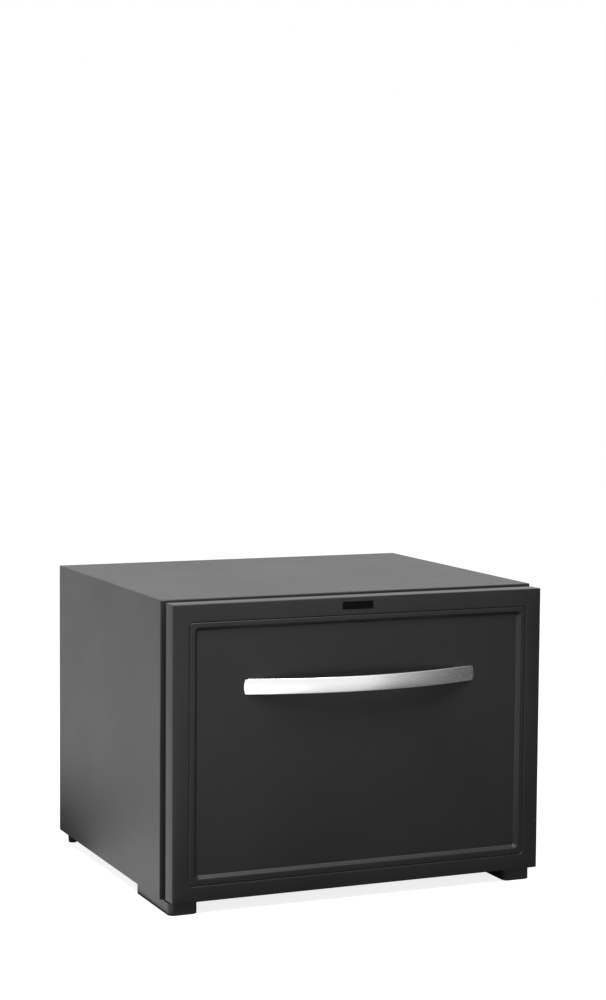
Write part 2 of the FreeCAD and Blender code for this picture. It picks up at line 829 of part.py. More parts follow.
def domed(u_edge, u_back, v0, v1, rise):
    """Bar section: a side that bulges by rise towards -u between two bevels, and three straight sides."""
    def draw(drawn):
        corners = [(u_edge, f"{v0} + {rise}"), (f"{u_edge} + {rise}", v0), (u_back, v0), (u_back, v1),
                   (f"{u_edge} + {rise}", v1), (u_edge, f"{v1} - {rise}")]
        spots = [vec(size(u), size(v), 0) for u, v in corners]
        last = len(corners) - 1
        rules = []
        for i in range(last):
            drawn.addGeometry(Part.LineSegment(spots[i], spots[i + 1]), False)
            rules += pinned(i, 1, *corners[i]) + pinned(i, 2, *corners[i + 1])
        crown = vec(size(f"{u_edge} - {rise}"), (spots[0].y + spots[last].y) / 2, 0)
        drawn.addGeometry(Part.Arc(spots[last], crown, spots[0]), False)
        half = f"(({v1} - {v0}) / 2 - {rise})"
        rules += [(("Coincident", last - 1, 2, last, 1), None), (("Coincident", last, 2, 0, 1), None),
                  (("Radius", last), f"(({half} ^ 2 + {rise} ^ 2) / (2 * {rise}))")]
        bind(drawn, rules)
    return draw


def handle():
    """Bow handle: a domed bar on a circular arc, cut flat where its ends land on the panel."""
    made = body("handle")
    centre = f"({panel_face} - handle_rise + {bow_r})"
    section = domed(f"(handle_dome - {bow_r})", f"(handle_t - {bow_r})", f"({handle_z} - handle_h / 2)",
                    f"({handle_z} + handle_h / 2)", "handle_dome")
    bar = spin(made, sketch(made, "side", "0", section, origin=centre))
    bar.setExpression("Angle", bound(f"2.2 * asin(handle_span / 2 / {bow_r})"))
    bar.Midplane = True
    reach = rectangle("-handle_span", "handle_span", f"({handle_z} - handle_h)", f"({handle_z} + handle_h)")
    pocket(made, sketch(made, "front", panel_face, reach), "4 * handle_rise")
    holes = [ring(f"({s} * {handle_screw_x})", handle_z, "(screw_r + ball_gap)") for s in (-1, 1)]
    pocket(made, sketch(made, "front", panel_face, *holes), "handle_thread", along=-1)
    keep(made)
    screws = [screw(f"handle_screw_{side}", "-Y", f"({s} * {handle_screw_x})", frame_back, handle_z,
                    "frame_t - panel_recess + handle_thread - fit_gap") for side, s in sides]
    keep(group("handle_screws", screws))


def door_foam():
    """Foam core of the drawer front and of the plinth behind it."""
    made = body("door_foam")
    start = f"({door_front} + shell_t)"
    pad(made, sketch(made, "front", start, rectangle(*shell_inside)), "door_t - shell_t - liner_t")
    core = clipped(*grown(plinth, "-liner_t"), "plinth_r")
    pad(made, sketch(made, "front", f"({door_back} - liner_t)", core), "seal_gap + plinth_in")
    pocket(made, sketch(made, "front", start, clipped(*groove, "groove_r")), "frame_t - shell_t")
    heads = [ring(f"({s} * {handle_screw_x})", handle_z, "(head_r + fit_gap)") for s in (-1, 1)]
    pocket(made, sketch(made, "front", frame_back, *heads), "head_t + fit_gap")
    fixings = [ring(x, z, screw_clear) for x, z in carrier_screws]
    pocket(made, sketch(made, "front", plinth_back, *fixings), "screw_bite", along=-1)
    keep(made)


def door_liner():
    """Inner skin of the drawer front: a flat flange with a raised plinth that plugs the opening."""
    made = body("door_liner")
    start = f"({door_back} - liner_t)"
    pad(made, sketch(made, "front", start, rectangle(*grown(shell_inside, "-fit_gap"))), "liner_t")
    pad(made, sketch(made, "front", start, rounded(*plinth, "plinth_r")), f"{plinth_back} - {start}")
    core = clipped(*grown(plinth, "-liner_t"), "plinth_r")
    pocket(made, sketch(made, "front", start, core), "seal_gap + plinth_in")
    y = size(plinth_back)
    soften(made, "liner_t * 0.9", lambda box: flat(box, "Y", y), bevel=True)
    fixings = [ring(x, z, screw_clear) for x, z in carrier_screws]
    pocket(made, sketch(made, "front", plinth_back, *fixings), "liner_t", along=-1)
    keep(made)


def door_gasket():
    """Magnetic seal with mitred corners: base strip, narrow bellows neck and the bulb on the cabinet lips."""
    made = body("door_gasket")
    outer = inset_door("gasket_inset", "gasket_inset", "gasket_inset")
    at = door_back
    for share, waist in ((0.2, 0), (0.35, 0.25), (0.45, 0)):
        near_edge = grown(outer, f"(-{waist} * gasket_w)")
        far_edge = grown(outer, f"(({waist} - 1) * gasket_w)")
        loop = sketch(made, "front", at, rectangle(*near_edge), rectangle(*far_edge))
        depth = f"({share} * (seal_gap - gasket_gap))"
        pad(made, loop, depth)
        at = f"({at} + {depth})"
    keep(made)


# ---------------------------------------------------------------- telescopic slides
race_v = "(slide_h / 2 - slide_t)"
ball_a_v = f"({race_v} - ball_gap - ball_r)"
middle_v = f"({ball_a_v} - ball_r - ball_gap)"
ball_b_v = f"({middle_v} - slide_t - ball_gap - ball_r)"
inner_v = f"({ball_b_v} - ball_r - ball_gap)"
outer_u = "(slide_w - 3 * slide_t)"
middle_u0 = "(slide_t + 2 * cage_t)"
middle_u1 = "(slide_w - 1.4 * slide_t)"
inner_u = f"({middle_u0} + slide_t + 3.6 * cage_t)"
ball_a_u = f"({outer_u} - slide_t - 3 * fit_gap - ball_r)"
ball_b_u = f"({middle_u1} - slide_t - 3 * fit_gap - ball_r)"


def channel(s, near_u, far_u, v, thick, lip=None):
    """C section with its web at near_u and its flanges reaching to far_u, between -v and v."""
    u0, u1 = near_u, far_u
    toward = "1" if size(far_u) > size(near_u) else "-1"
    web = f"({u0} + {toward} * {thick})"
    end = f"({u1} - {toward} * {thick})"
    upper = [(u0, v), (u1, v)]
    under = f"({v} - {thick})"
    if lip:
        upper += [(u1, f"({under} - {lip})"), (end, f"({under} - {lip})"), (end, under)]
    else:
        upper += [(u1, under)]
    upper += [(web, under)]
    points = [(u, f"{slide_z} + {w}") for u, w in upper]
    points += [(u, f"{slide_z} - {w}") for u, w in reversed(upper)]
    return polygon([(f"({s} * ({room_side} - {u}))", w) for u, w in points])


def ball(name, x, y, z):
    """Ball with 24 faces: what three crossed eight-sided prisms share."""
    made = doc.addObject("Part::MultiCommon", name)
    made.Shapes = [
        prism(name + "_x", 8, "ball_r", "2 * ball_r", "+X", f"({x} - ball_r)", y, z),
        prism(name + "_y", 8, "ball_r", "2 * ball_r", "+Y", x, f"({y} - ball_r)", z),
        prism(name + "_z", 8, "ball_r", "2 * ball_r", "+Z", x, y, f"({z} - ball_r)"),
    ]
    return made


def cage(label, s, near_u, far_u, ball_u, v):
    """Ball retainer: a thin channel with a window for each ball, and the balls in it."""
    made = body(label + "_strip")
    section = channel(s, near_u, far_u, f"({v} + cage_t / 2)", "cage_t")
    pad(made, sketch(made, "front", slide_mid, section), "cage_len", both=True)
    x = f"({s} * ({room_side} - {ball_u}))"
    places = [f"({slide_mid} + {step} * ball_pitch)" for step in (-1, 0, 1)]
    windows = [rectangle(*grown((x, x, y, y), "(ball_r + 2 * ball_gap)")) for y in places]
    pocket(made, sketch(made, "plan", slide_z, *windows), "slide_h", both=True)
    balls = [ball(f"{label}_ball", x, y, f"({slide_z} + {level} * {v})") for level in (-1, 1) for y in places]
    keep(group(label, [made] + balls))


def slide(side, s):
    """Full extension slide of three members with two ball cages."""
    outer = body(f"slide_outer_{side}")
    section = channel(s, "0", outer_u, "(slide_h / 2)", "slide_t", "slide_lip")
    pad(outer, sketch(outer, "front", slide_front, section), slide_len)
    holes = [ring(y, slide_z, screw_clear) for y in slide_screws_y]
    pocket(outer, sketch(outer, "side", f"({s} * ({room_side} - slide_t))", *holes), "slide_t", along=s)
    seats = [ring(y, slide_z, "(flat_head_r + fit_gap)") for y in slide_screws_y]
    pocket(outer, sketch(outer, "side", f"({s} * ({room_side} - slide_t))", *seats), "slide_t / 2", along=s)
    keep(outer)
    middle = body(f"slide_middle_{side}")
    section = channel(s, middle_u0, middle_u1, middle_v, "slide_t", "slide_lip")
    pad(middle, sketch(middle, "front", slide_front, section), slide_len)
    keep(middle)
    inner = body(f"slide_inner_{side}")
    section = channel(s, "slide_w", inner_u, inner_v, "slide_t")
    pad(inner, sketch(inner, "front", slide_front, section), slide_len)
    holes = [ring(y, slide_z, screw_clear) for y in slide_screws_y]
    web = sketch(inner, "side", f"({s} * {carrier_out})", *holes)
    pocket(inner, web, "slide_t", along=s)
    keep(inner)
    cage(f"slide_cage_outer_{side}", s, "(slide_t + cage_t / 2)", f"({outer_u} - slide_t - fit_gap)",
         ball_a_u, ball_a_v)
    cage(f"slide_cage_inner_{side}", s, f"({middle_u0} + slide_t + 0.8 * cage_t)",
         f"({middle_u1} - slide_t - fit_gap)", ball_b_u, ball_b_v)


def slides():
    for side, s in sides:
        slide(side, s)
    fixed, moved = [], []
    for side, s in sides:
        heading = "+X" if s > 0 else "-X"
        seat = f"({s} * ({room_side} - slide_t / 2))"
        for i, y in enumerate(slide_screws_y):
            fixed.append(screw(f"slide_screw_{side}_{i}", heading, seat, y, slide_z,
                               f"slide_t / 2 + {screw_run}", ("flat_head_r", "slide_t / 2 - ball_gap")))
            moved.append(screw(f"carrier_bolt_{side}_{i}", heading, f"({s} * {carrier_in})", y, slide_z,
                               "carrier_t + slide_t + hole_spare"))
    keep(group("slide_screws", fixed))
    keep(group("carrier_bolts", moved))


# ---------------------------------------------------------------- bin and carriers
def carriers():
    """Folded steel side brackets that hang the bin on the drawer front and the slides."""
    for side, s in sides:
        made = body(f"bin_carrier_{side}")
        low = f"({slide_low} - carrier_t)"
        web = [(plinth_back, low), (bin_y1, low), (bin_y1, f"({slide_low} + slide_h)"),
               (f"({plinth_back} + slide_h + carrier_seat)", f"({slide_low} + slide_h)"),
               (f"({plinth_back} + carrier_seat)", carrier_top), (plinth_back, carrier_top)]
        pad(made, sketch(made, "side", f"({s} * {carrier_out})", polygon(web)), "carrier_t", along=-s)
        x0, x1 = span(s, seat_edge, carrier_out)
        shelf = sketch(made, "plan", low, rectangle(x0, x1, plinth_back, bin_y1))
        pad(made, shelf, "carrier_t")
        holes = [ring(f"({s} * {tab_screws_x})", z, screw_clear) for z in tab_screws_z]
        tab = rectangle(x0, x1, low, carrier_top)
        pad(made, sketch(made, "front", plinth_back, tab, *holes), "carrier_t")
        bolts = [ring(y, slide_z, screw_clear) for y in slide_screws_y]
        pocket(made, sketch(made, "side", f"({s} * {carrier_out})", *bolts), "carrier_t", along=-s)
        keep(made)
    seat = f"({plinth_back} + carrier_t)"
    screws = [screw(f"carrier_screw_{i}", "-Y", x, seat, z, f"carrier_t + {screw_run}")
              for i, (x, z) in enumerate(carrier_screws)]
    keep(group("carrier_screws", screws))


bin_ledge = (f"-{bin_half}", bin_half, bin_y0, bin_y1)
bin_wall = grown(bin_ledge, "-bin_rim")


def bin():
    """Drawer bin with drafted walls, a flat rim and ribs on its floor."""
    made = body("drawer_bin")
    lower = grown(bin_wall, "-bin_taper")
    upper_skin = sketch(made, "plan", bin_high, rounded(*bin_wall, "bin_r"))
    lower_skin = sketch(made, "plan", slide_low, rounded(*lower, "bin_r"))
    loft(made, upper_skin, lower_skin, "PartDesign::AdditiveLoft")
    ledge = sketch(made, "plan", bin_high, rounded(*bin_ledge, "(bin_r + bin_rim)"))
    pad(made, ledge, "bin_rim_t", along=-1)
    floor = f"({slide_low} + bin_t)"
    upper_room = sketch(made, "plan", bin_high, rounded(*grown(bin_wall, "-bin_t"), "(bin_r - bin_t)"))
    lower_room = sketch(made, "plan", floor, rounded(*grown(lower, "-bin_t"), "(bin_r - bin_t)"))
    loft(made, upper_room, lower_room)
    x0, x1, y0, y1 = grown(lower, "-(bin_t + bin_r)")
    first = rectangle(x0, f"({x0} + rib_w)", y0, y1)
    rib = pad(made, sketch(made, "plan", floor, first), "rib_h")
    row_along(made, rib, "X", f"{x1} - {x0} - rib_w", "rib_count")
    keep(made)


def dividers():
    """Plates that hang on the bin's rim front and back and slide sideways."""
    ya, yb = f"({bin_y0} + bin_rim + bin_t)", f"({bin_y1} - bin_rim - bin_t)"
    low = f"({slide_low} + bin_t + rib_h + divider_gap)"
    rest = f"({bin_high} + fit_gap)"
    crest = f"({bin_high} + bin_rim_t)"
    ear = "(bin_rim - 2)"
    edge = [
        (f"{ya} + divider_gap + bin_taper", low), (f"{yb} - divider_gap - bin_taper", low),
        (f"{yb} - divider_gap", rest), (f"{yb} + {ear}", rest), (f"{yb} + {ear}", crest),
        (f"{ya} - {ear}", crest), (f"{ya} - {ear}", rest), (f"{ya} + divider_gap", rest),
    ]
    for side, s in sides:
        made = body(f"bin_divider_{side}")
        pad(made, sketch(made, "side", f"({s} * divider_x)", polygon(edge)), "divider_t", both=True)
        keep(made)


# ---------------------------------------------------------------- inside the cooled space
control_x = f"({room_side} - control_in - control_w)"
knob_x = f"({control_x} + control_w - knob_r - knob_in)"
knob_z = f"({room_top} - control_h / 2)"


def evaporator():
    """Cast aluminium plate with upright fins, screwed to the liner's back."""
    made = body("evaporator")
    holes = [ring(x, z, screw_clear) for x, z in evap_screws]
    pad(made, sketch(made, "front", evap_face, rectangle(*evap_plate), *holes), "evap_t")
    edge = "(evap_w / 2 - evap_fin_in)"
    fin = rectangle(f"-{edge}", f"(fin_t - {edge})", f"({evap_low} + fin_t)", f"({evap_top} - fin_t)")
    first = pad(made, sketch(made, "front", evap_face, fin), "fin_d", along=-1)
    row_along(made, first, "X", f"2 * {edge} - fin_t", f"floor(2 * {edge} / evap_fin_pitch) + 1")
    keep(made)
    screws = [screw(f"evaporator_screw_{i}", "+Y", x, evap_face, z, f"evap_t + {screw_run}")
              for i, (x, z) in enumerate(evap_screws)]
    keep(group("evaporator_screws", screws))


def drip_gutter():
    """Trough under the fins, closed at both ends, with the drain's way out through its back."""
    made = body("drip_gutter")
    y0, z0 = f"({room_back} - gutter_w)", gutter_low
    block = rectangle("(-evap_w / 2)", "(evap_w / 2)", y0, room_back)
    pad(made, sketch(made, "plan", z0, block), "gutter_h")
    trough = rectangle("(gutter_t - evap_w / 2)", "(evap_w / 2 - gutter_t)", f"({y0} + gutter_t)",
                       f"({room_back} - gutter_t)")
    pocket(made, sketch(made, "plan", gutter_top, trough), "gutter_h - gutter_t", along=-1)
    way = sketch(made, "front", f"({room_back} - gutter_t)", ring(drain_x, drain_z, "(drain_r + ball_gap)"))
    pocket(made, way, "gutter_t")
    keep(made)


def drain_tube():
    made = body("drain_tube")
    start = f"({room_back} - gutter_t)"
    wall = sketch(made, "front", start, ring(drain_x, drain_z, "drain_r"),
                  ring(drain_x, drain_z, "(drain_r - drain_wall)"))
    corners = [(start, drain_z), (drain_y, drain_z), (drain_y, f"({tray_z} + tray_h + drain_r)")]
    pipe(made, wall, sketch(made, "side", drain_x, route(corners, "(1.5 * drain_r)")))
    keep(made)


def control_housing():
    """Housing on the ceiling that holds the lamp lens below and the temperature knob in front."""
    made = body("control_housing")
    y0 = f"({front} + control_set)"
    low = f"({room_top} - control_h)"
    y1 = f"({y0} + control_d)"
    side_view = [(y0, room_top), (y0, low), (f"({y0} + control_d * 0.75)", low),
                 (y1, f"({room_top} - control_h * 0.4)"), (y1, room_top)]
    pad(made, sketch(made, "side", control_x, polygon(side_view)), "control_w")
    z = size(low)
    soften(made, "bin_t", lambda box: runs(box, "Y") and flat(box, "Z", z))
    lens_x, lens_y = f"({control_x} + lens_in)", f"({y0} + lens_in)"
    lens = (lens_x, f"({lens_x} + lens_w)", lens_y, f"({lens_y} + lens_d)")
    pocket(made, sketch(made, "plan", low, rectangle(*lens)), "lens_t", along=1)
    bore = circle(knob_x, knob_z, "(knob_shaft + knob_fit)")
    pocket(made, sketch(made, "front", y0, bore), "knob_t")
    keep(made)
    glass = body("lamp_lens")
    pad(glass, sketch(glass, "plan", low, rectangle(*grown(lens, "-fit_gap"))), "lens_t")
    keep(glass)


def temperature_knob():
    """Knob with a twelve-sided grip, a pointer ridge and a round shaft that it turns about."""
    made = body("temperature_knob")
    pad(made, sketch(made, "plan", "knob_lift", ring("0", "0", "knob_r", 12)), "knob_t")
    rim_z = size("knob_lift + knob_t")
    soften(made, "knob_ridge", lambda box: flat(box, "Z", rim_z), bevel=True)
    pad(made, sketch(made, "plan", "knob_lift", circle("0", "0", "knob_shaft")), "knob_t", along=-1)
    ridge = rectangle("-knob_ridge", "knob_ridge", "0", "(0.75 * knob_r)")
    pad(made, sketch(made, "plan", "knob_lift + knob_t", ridge), "knob_ridge")
    made.Placement = FreeCAD.Placement(vec(), turned["-Y"])
    place(made, knob_x, f"({front} + control_set)", knob_z)
    keep(made)


# ---------------------------------------------------------------- cooling unit
def unit_parts():
    plate = body("unit_plate")
    ways = wall_ways[:2] + [ring(x, z, screw_clear) for x, z in unit_screws]
    outline = clipped(*unit_plate, "unit_screw_in")
    pad(plate, sketch(plate, "front", back_face, outline, *ways), "unit_plate_t")
    keep(plate)
    seat = f"({back_face} + unit_plate_t)"
    screws = [screw(f"unit_screw_{i}", "-Y", x, seat, z, f"unit_plate_t + {screw_run}")
              for i, (x, z) in enumerate(unit_screws)]
    keep(group("unit_screws", screws))


elbow_end = f"({pipe_z} - pipe_bend - pipe_tail)"


def evaporator_pipes():
    """Two pipes that leave the evaporator through the back wall."""
    elbow = body("evaporator_elbow")
    corners = [(room_back, pipe_z), (pipe_y, pipe_z), (pipe_y, elbow_end)]
    pipe(elbow, sketch(elbow, "front", room_back, ring("pipe_split", pipe_z, "pipe_r", 8)),
         sketch(elbow, "side", "pipe_split", route(corners, "pipe_bend")))
    stub = body("evaporator_stub")
    face = sketch(stub, "front", room_back, ring("-pipe_split", pipe_z, "pipe_r", 8))
    pad(stub, face, f"{pipe_y} + pipe_r + pipe_tail - {room_back}")
    keep(group("evaporator_pipes", [elbow, stub]))
    return stub


def cut_by(label, whole, tools):
    made = doc.addObject("Part::Cut", label)
    made.Label = label
    made.Base = whole
    if len(tools) > 1:
        joined = doc.addObject("Part::MultiFuse", label + "_tools")
        joined.Shapes = tools
        tools = [joined]
    made.Tool = tools[0]
    return made


def condenser(stub):
    """Finned pipe from the boiler's top, across under the top sheet and down to the evaporator."""
    made = body("condenser_pipe")
    corners = [(boiler_x, boiler_top), (boiler_x, condenser_z), (condenser_end, condenser_z),
               (condenser_end, pipe_z), ("-pipe_split", pipe_z)]
    pipe(made, sketch(made, "plan", boiler_top, ring(boiler_x, pipe_y, "pipe_r", 8)),
         sketch(made, "front", pipe_y, route(corners, "pipe_bend")))
    x0, x1 = f"({condenser_end} + 2 * pipe_bend)", f"({boiler_x} - boiler_w)"
    fin = rectangle(f"({pipe_y} - fin_depth / 2)", f"({pipe_y} + fin_depth / 2)",
                    f"({condenser_z} - fin_tall / 2)", f"({condenser_z} + fin_tall / 2)")
    first = pad(made, sketch(made, "side", x0, fin), "cold_fin_t")
    count = f"(floor(({x1} - {x0}) / cold_fin_pitch) + 1)"
    row_along(made, first, "X", f"({count} - 1) * cold_fin_pitch", count)
    keep(cut_by("condenser", made, [stub]))


def absorber():
    """Horizontal vessel with the serpentine coil that rises from it, and its brackets."""
    vessel = body("absorber_vessel")
    end = sketch(vessel, "side", vessel_x0, ring(pipe_y, "vessel_z", "vessel_r", 16))
    pad(vessel, end, f"{vessel_x1} - {vessel_x0}")
    a, b = size(vessel_x0), size(vessel_x1)
    soften(vessel, "vessel_bevel", lambda box: flat(box, "X", a) or flat(box, "X", b), bevel=True)
    keep(vessel)
    coil = body("coil_pipe")
    left, right = f"({vessel_x0} + pipe_bend)", f"({boiler_x} - boiler_w / 2 - pipe_bend - pipe_r)"
    first = "(vessel_z + vessel_r + coil_low)"
    pitch = f"(({pipe_z} - coil_drop - {first}) / 3)"
    rows = [f"({first} + {i} * {pitch})" for i in range(4)]
    corners = [(left, "vessel_z"), (left, rows[0]), (right, rows[0]), (right, rows[1]), (vessel_x0, rows[1]),
               (vessel_x0, rows[2]), (right, rows[2]), (right, rows[3]), ("pipe_split", rows[3]),
               ("pipe_split", elbow_end)]
    pipe(coil, sketch(coil, "plan", "vessel_z", ring(left, pipe_y, "pipe_r", 8)),
         sketch(coil, "front", pipe_y, route(corners, f"(coil_turn * {pitch})")))
    keep(cut_by("absorber_coil", coil, [vessel]))
    low = "(vessel_z - vessel_r - bracket_drop)"
    for side, x in (("left", f"({vessel_x0} + 2 * vessel_r)"), ("right", f"({vessel_x1} - 2 * vessel_r)")):
        saddle = body(f"vessel_bracket_{side}")
        pad(saddle, sketch(saddle, "side", x, rectangle(back_face, pipe_y, low, "vessel_z")), "bracket_t")
        seat = ring(pipe_y, "vessel_z", "(vessel_r + ball_gap)", 16)
        pocket(saddle, sketch(saddle, "side", x, seat), "bracket_t")
        keep(saddle)


def boiler():
    """Sheet metal casing over the generator on the back panel, and the straight exchanger tube to it."""
    made = body("boiler_casing")
    half = "(boiler_w / 2)"
    plan = rounded(f"({boiler_x} - {half})", f"({boiler_x} + {half})", back_face,
                   f"({back_face} + boiler_d)", "boiler_r")
    pad(made, sketch(made, "plan", "boiler_z", plan), f"{boiler_top} - boiler_z")
    z = size(boiler_top)
    soften(made, "boiler_r / 3", lambda box: flat(box, "Z", z), bevel=True)
    keep(made)
    tube = body("heat_exchanger")
    pad(tube, sketch(tube, "side", vessel_x1, ring(pipe_y, "vessel_z", "exchanger_r", 12)), "exchanger_len")
    keep(tube)


def terminal_box():
    """Closed box for the heater's terminals, with the gland that a supply lead enters by."""
    made = body("terminal_box")
    x0 = f"(box_in - {half_w})"
    x1 = f"({x0} + box_w)"
    z0 = "(vessel_z - vessel_r)"
    face = f"({back_face} + box_d)"
    outline = clipped(x0, x1, z0, f"({z0} + box_h)", "box_corner")
    pad(made, sketch(made, "front", back_face, outline), "box_d")
    y = size(face)
    soften(made, "edge_r", lambda box: flat(box, "Y", y), bevel=True)
    centre = (f"({x0} + box_w / 2)", f"({z0} + gland_rise)")
    neck = "(gland_r + gland_wall)"
    seat = sketch(made, "front", face, ring(*centre, f"({neck} + ball_gap)"))
    pocket(made, seat, "gland_in + hole_spare", along=-1)
    keep(made)
    gland = body("cord_gland")
    pad(gland, sketch(gland, "front", f"({face} - gland_in)", ring(*centre, neck)), "gland_in")
    pad(gland, sketch(gland, "front", face, ring(*centre, f"({neck} + gland_wall)")), "gland_nut")
    nose = sketch(gland, "front", f"({face} + gland_nut)", ring(*centre, neck, 12))
    pad(gland, nose, "gland_out - gland_nut")
    bore = sketch(gland, "front", f"({face} - gland_in)", circle(*centre, "gland_r"))
    pocket(gland, bore, "gland_in + gland_out")
    keep(gland)


def drip_tray():
    """Small open tray that catches the drain's water over the warm vessel."""
    made = body("drip_tray")
    x0, x1 = f"({drain_x} - tray_w / 2)", f"({drain_x} + tray_w / 2)"
    pad(made, sketch(made, "plan", tray_z, rectangle(x0, x1, back_face, f"({back_face} + tray_d)")), "tray_h")
    inner = rectangle(f"({x0} + gutter_t)", f"({x1} - gutter_t)", f"({back_face} + gutter_t)",
                      f"({back_face} + tray_d - gutter_t)")
    pocket(made, sketch(made, "plan", f"({tray_z} + tray_h)", inner), "tray_h - gutter_t", along=-1)
    keep(made)


# ---------------------------------------------------------------- build, check, write
cabinet_wrap()
base_pan()
inner_liner()
insulation_foam()
back_panel()
front_feet()
rear_feet()
door_shell()
panel_frame()
decor_panel()
badge_plate()
handle()
door_foam()
door_liner()
door_gasket()
slides()
carriers()
bin()
dividers()
evaporator()
drip_gutter()
drain_tube()
control_housing()
temperature_knob()
unit_parts()
condenser(evaporator_pipes())
absorber()
boiler()
terminal_box()
drip_tray()
doc.recompute()

for thing in doc.Objects:
    if {"Invalid", "Error"} & set(thing.State):
        raise RuntimeError(f"{thing.Label} failed: {thing.State}")
    before = getattr(thing, "BaseFeature", None)
    if thing.TypeId in ("PartDesign::Pocket", "PartDesign::SubtractiveLoft") and before:
        if before.Shape.Volume - thing.Shape.Volume < 0.1:
            raise RuntimeError(f"{thing.Label} cuts nothing")

os.makedirs("parts", exist_ok=True)
for made in parts:
    if made.Shape.isNull() or not made.Shape.isValid():
        raise RuntimeError(f"{made.Label} has no valid shape")
for made in parts:
    made.Shape.exportStep(f"parts/{made.Label}.step")
print(len(parts), "sub-parts written")
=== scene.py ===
import bmesh
import bpy
import json
import math
from mathutils import Matrix, Vector
from mathutils.geometry import tessellate_polygon


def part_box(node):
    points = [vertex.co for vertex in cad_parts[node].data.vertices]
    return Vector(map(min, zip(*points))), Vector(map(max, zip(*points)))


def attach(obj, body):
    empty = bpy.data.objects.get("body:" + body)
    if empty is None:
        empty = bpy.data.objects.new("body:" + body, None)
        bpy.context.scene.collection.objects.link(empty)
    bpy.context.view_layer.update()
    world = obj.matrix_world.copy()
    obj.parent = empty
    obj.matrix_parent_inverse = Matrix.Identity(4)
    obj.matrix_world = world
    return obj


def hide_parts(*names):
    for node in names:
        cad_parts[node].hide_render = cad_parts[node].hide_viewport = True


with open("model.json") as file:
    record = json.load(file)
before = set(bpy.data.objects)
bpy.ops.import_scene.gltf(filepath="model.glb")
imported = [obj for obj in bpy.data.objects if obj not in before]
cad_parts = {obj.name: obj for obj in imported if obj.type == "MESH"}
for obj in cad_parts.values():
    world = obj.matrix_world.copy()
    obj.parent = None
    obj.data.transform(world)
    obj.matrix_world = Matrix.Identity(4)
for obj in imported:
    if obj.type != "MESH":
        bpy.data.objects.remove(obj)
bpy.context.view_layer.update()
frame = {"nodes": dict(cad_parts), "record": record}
nodes = frame["nodes"]
bodies = frame["record"]["behaviour"]["bodies"]
bodyOf = {node: body for body, members in bodies.items() for node in members}
slotOf = {name: piece.data.materials[0].name for name, piece in nodes.items()}
sameSpot = 1e-6  # points closer than this, in metres, are one
print("minibar: frame in,", len(nodes), "nodes")


def metres(look, *names):  # the pieces below are described in millimetres
    return [look[name] / 1000 for name in names]


def polar(degrees, r):
    turn = math.radians(degrees)
    return r * math.cos(turn), r * math.sin(turn)


def tone(code):  # written colour to the linear one that the shader wants
    parts = [int(code[i:i + 2], 16) / 255 for i in (0, 2, 4)]
    return tuple(c / 12.92 if c <= 0.04045 else ((c + 0.055) / 1.055) ** 2.4 for c in parts) + (1,)


# shader building blocks, shared by the finishes below
def feed(tree, socket, value):  # a wire from another node, or a constant
    if isinstance(value, bpy.types.NodeSocket):
        tree.links.new(value, socket)
    else:
        socket.default_value = value


def addNode(tree, kind, **inputs):
    made = tree.nodes.new(kind)
    for label, value in inputs.items():
        if hasattr(made, label) and label not in made.inputs:
            setattr(made, label, value)
        else:
            feed(tree, made.inputs[label], value)
    return made


def sums(tree, operation, a, b=0.0, limited=False):
    made = addNode(tree, "ShaderNodeMath", operation=operation, use_clamp=limited)
    feed(tree, made.inputs[0], a)
    feed(tree, made.inputs[1], b)
    return made.outputs[0]


def vectors(tree, operation, a, b):
    made = addNode(tree, "ShaderNodeVectorMath", operation=operation)
    feed(tree, made.inputs[0], a)
    feed(tree, made.inputs[1], b)
    return made.outputs["Value" if operation == "DOT_PRODUCT" else "Vector"]


def spread(tree, value, low, high):
    made = addNode(tree, "ShaderNodeMapRange", **{"Value": value, "To Min": low, "To Max": high})
    return made.outputs["Result"]


def startGroup(name, result, **values):  # gives the group, its inputs, its output and the place on the object
    group = bpy.data.node_groups.new(name, "ShaderNodeTree")
    for label, value in values.items():
        kind = "NodeSocketVector" if isinstance(value, tuple) else "NodeSocketFloat"
        group.interface.new_socket(name=label, in_out="INPUT", socket_type=kind).default_value = value
    group.interface.new_socket(name=result, in_out="OUTPUT", socket_type="NodeSocketFloat")
    ins, outs = group.nodes.new("NodeGroupInput").outputs, group.nodes.new("NodeGroupOutput").inputs
    return group, ins, outs[0], addNode(group, "ShaderNodeTexCoord").outputs["Object"]


def buildCloud():  # slow blotches, from 0 to 1
    group, ins, out, here = startGroup("cloud", "Value", Scale=6.0, Contrast=1.5)
    broad = addNode(group, "ShaderNodeTexNoise", Vector=here, Scale=ins["Scale"], Detail=5.0, Roughness=0.6)
    lifted = sums(group, "MULTIPLY", sums(group, "SUBTRACT", broad.outputs["Fac"], 0.5), ins["Contrast"])
    group.links.new(sums(group, "ADD", lifted, 0.5, True), out)
    return group


def buildGrain():  # moulded or sprayed skin; Crisp 0 is orange peel, 1 is a pebbled mould
    group, ins, out, here = startGroup("grain", "Height", Scale=700.0, Crisp=0.0)
    peel = addNode(group, "ShaderNodeTexNoise", Vector=here, Scale=ins["Scale"], Detail=2.0, Roughness=0.45)
    cells = addNode(group, "ShaderNodeTexVoronoi", Vector=here, Scale=ins["Scale"], Randomness=1.0)
    pick = group.nodes.new("ShaderNodeMix")
    for place, value in ((0, ins["Crisp"]), (2, peel.outputs["Fac"]), (3, cells.outputs["Distance"])):
        feed(group, pick.inputs[place], value)
    group.links.new(pick.outputs[0], out)
    return group


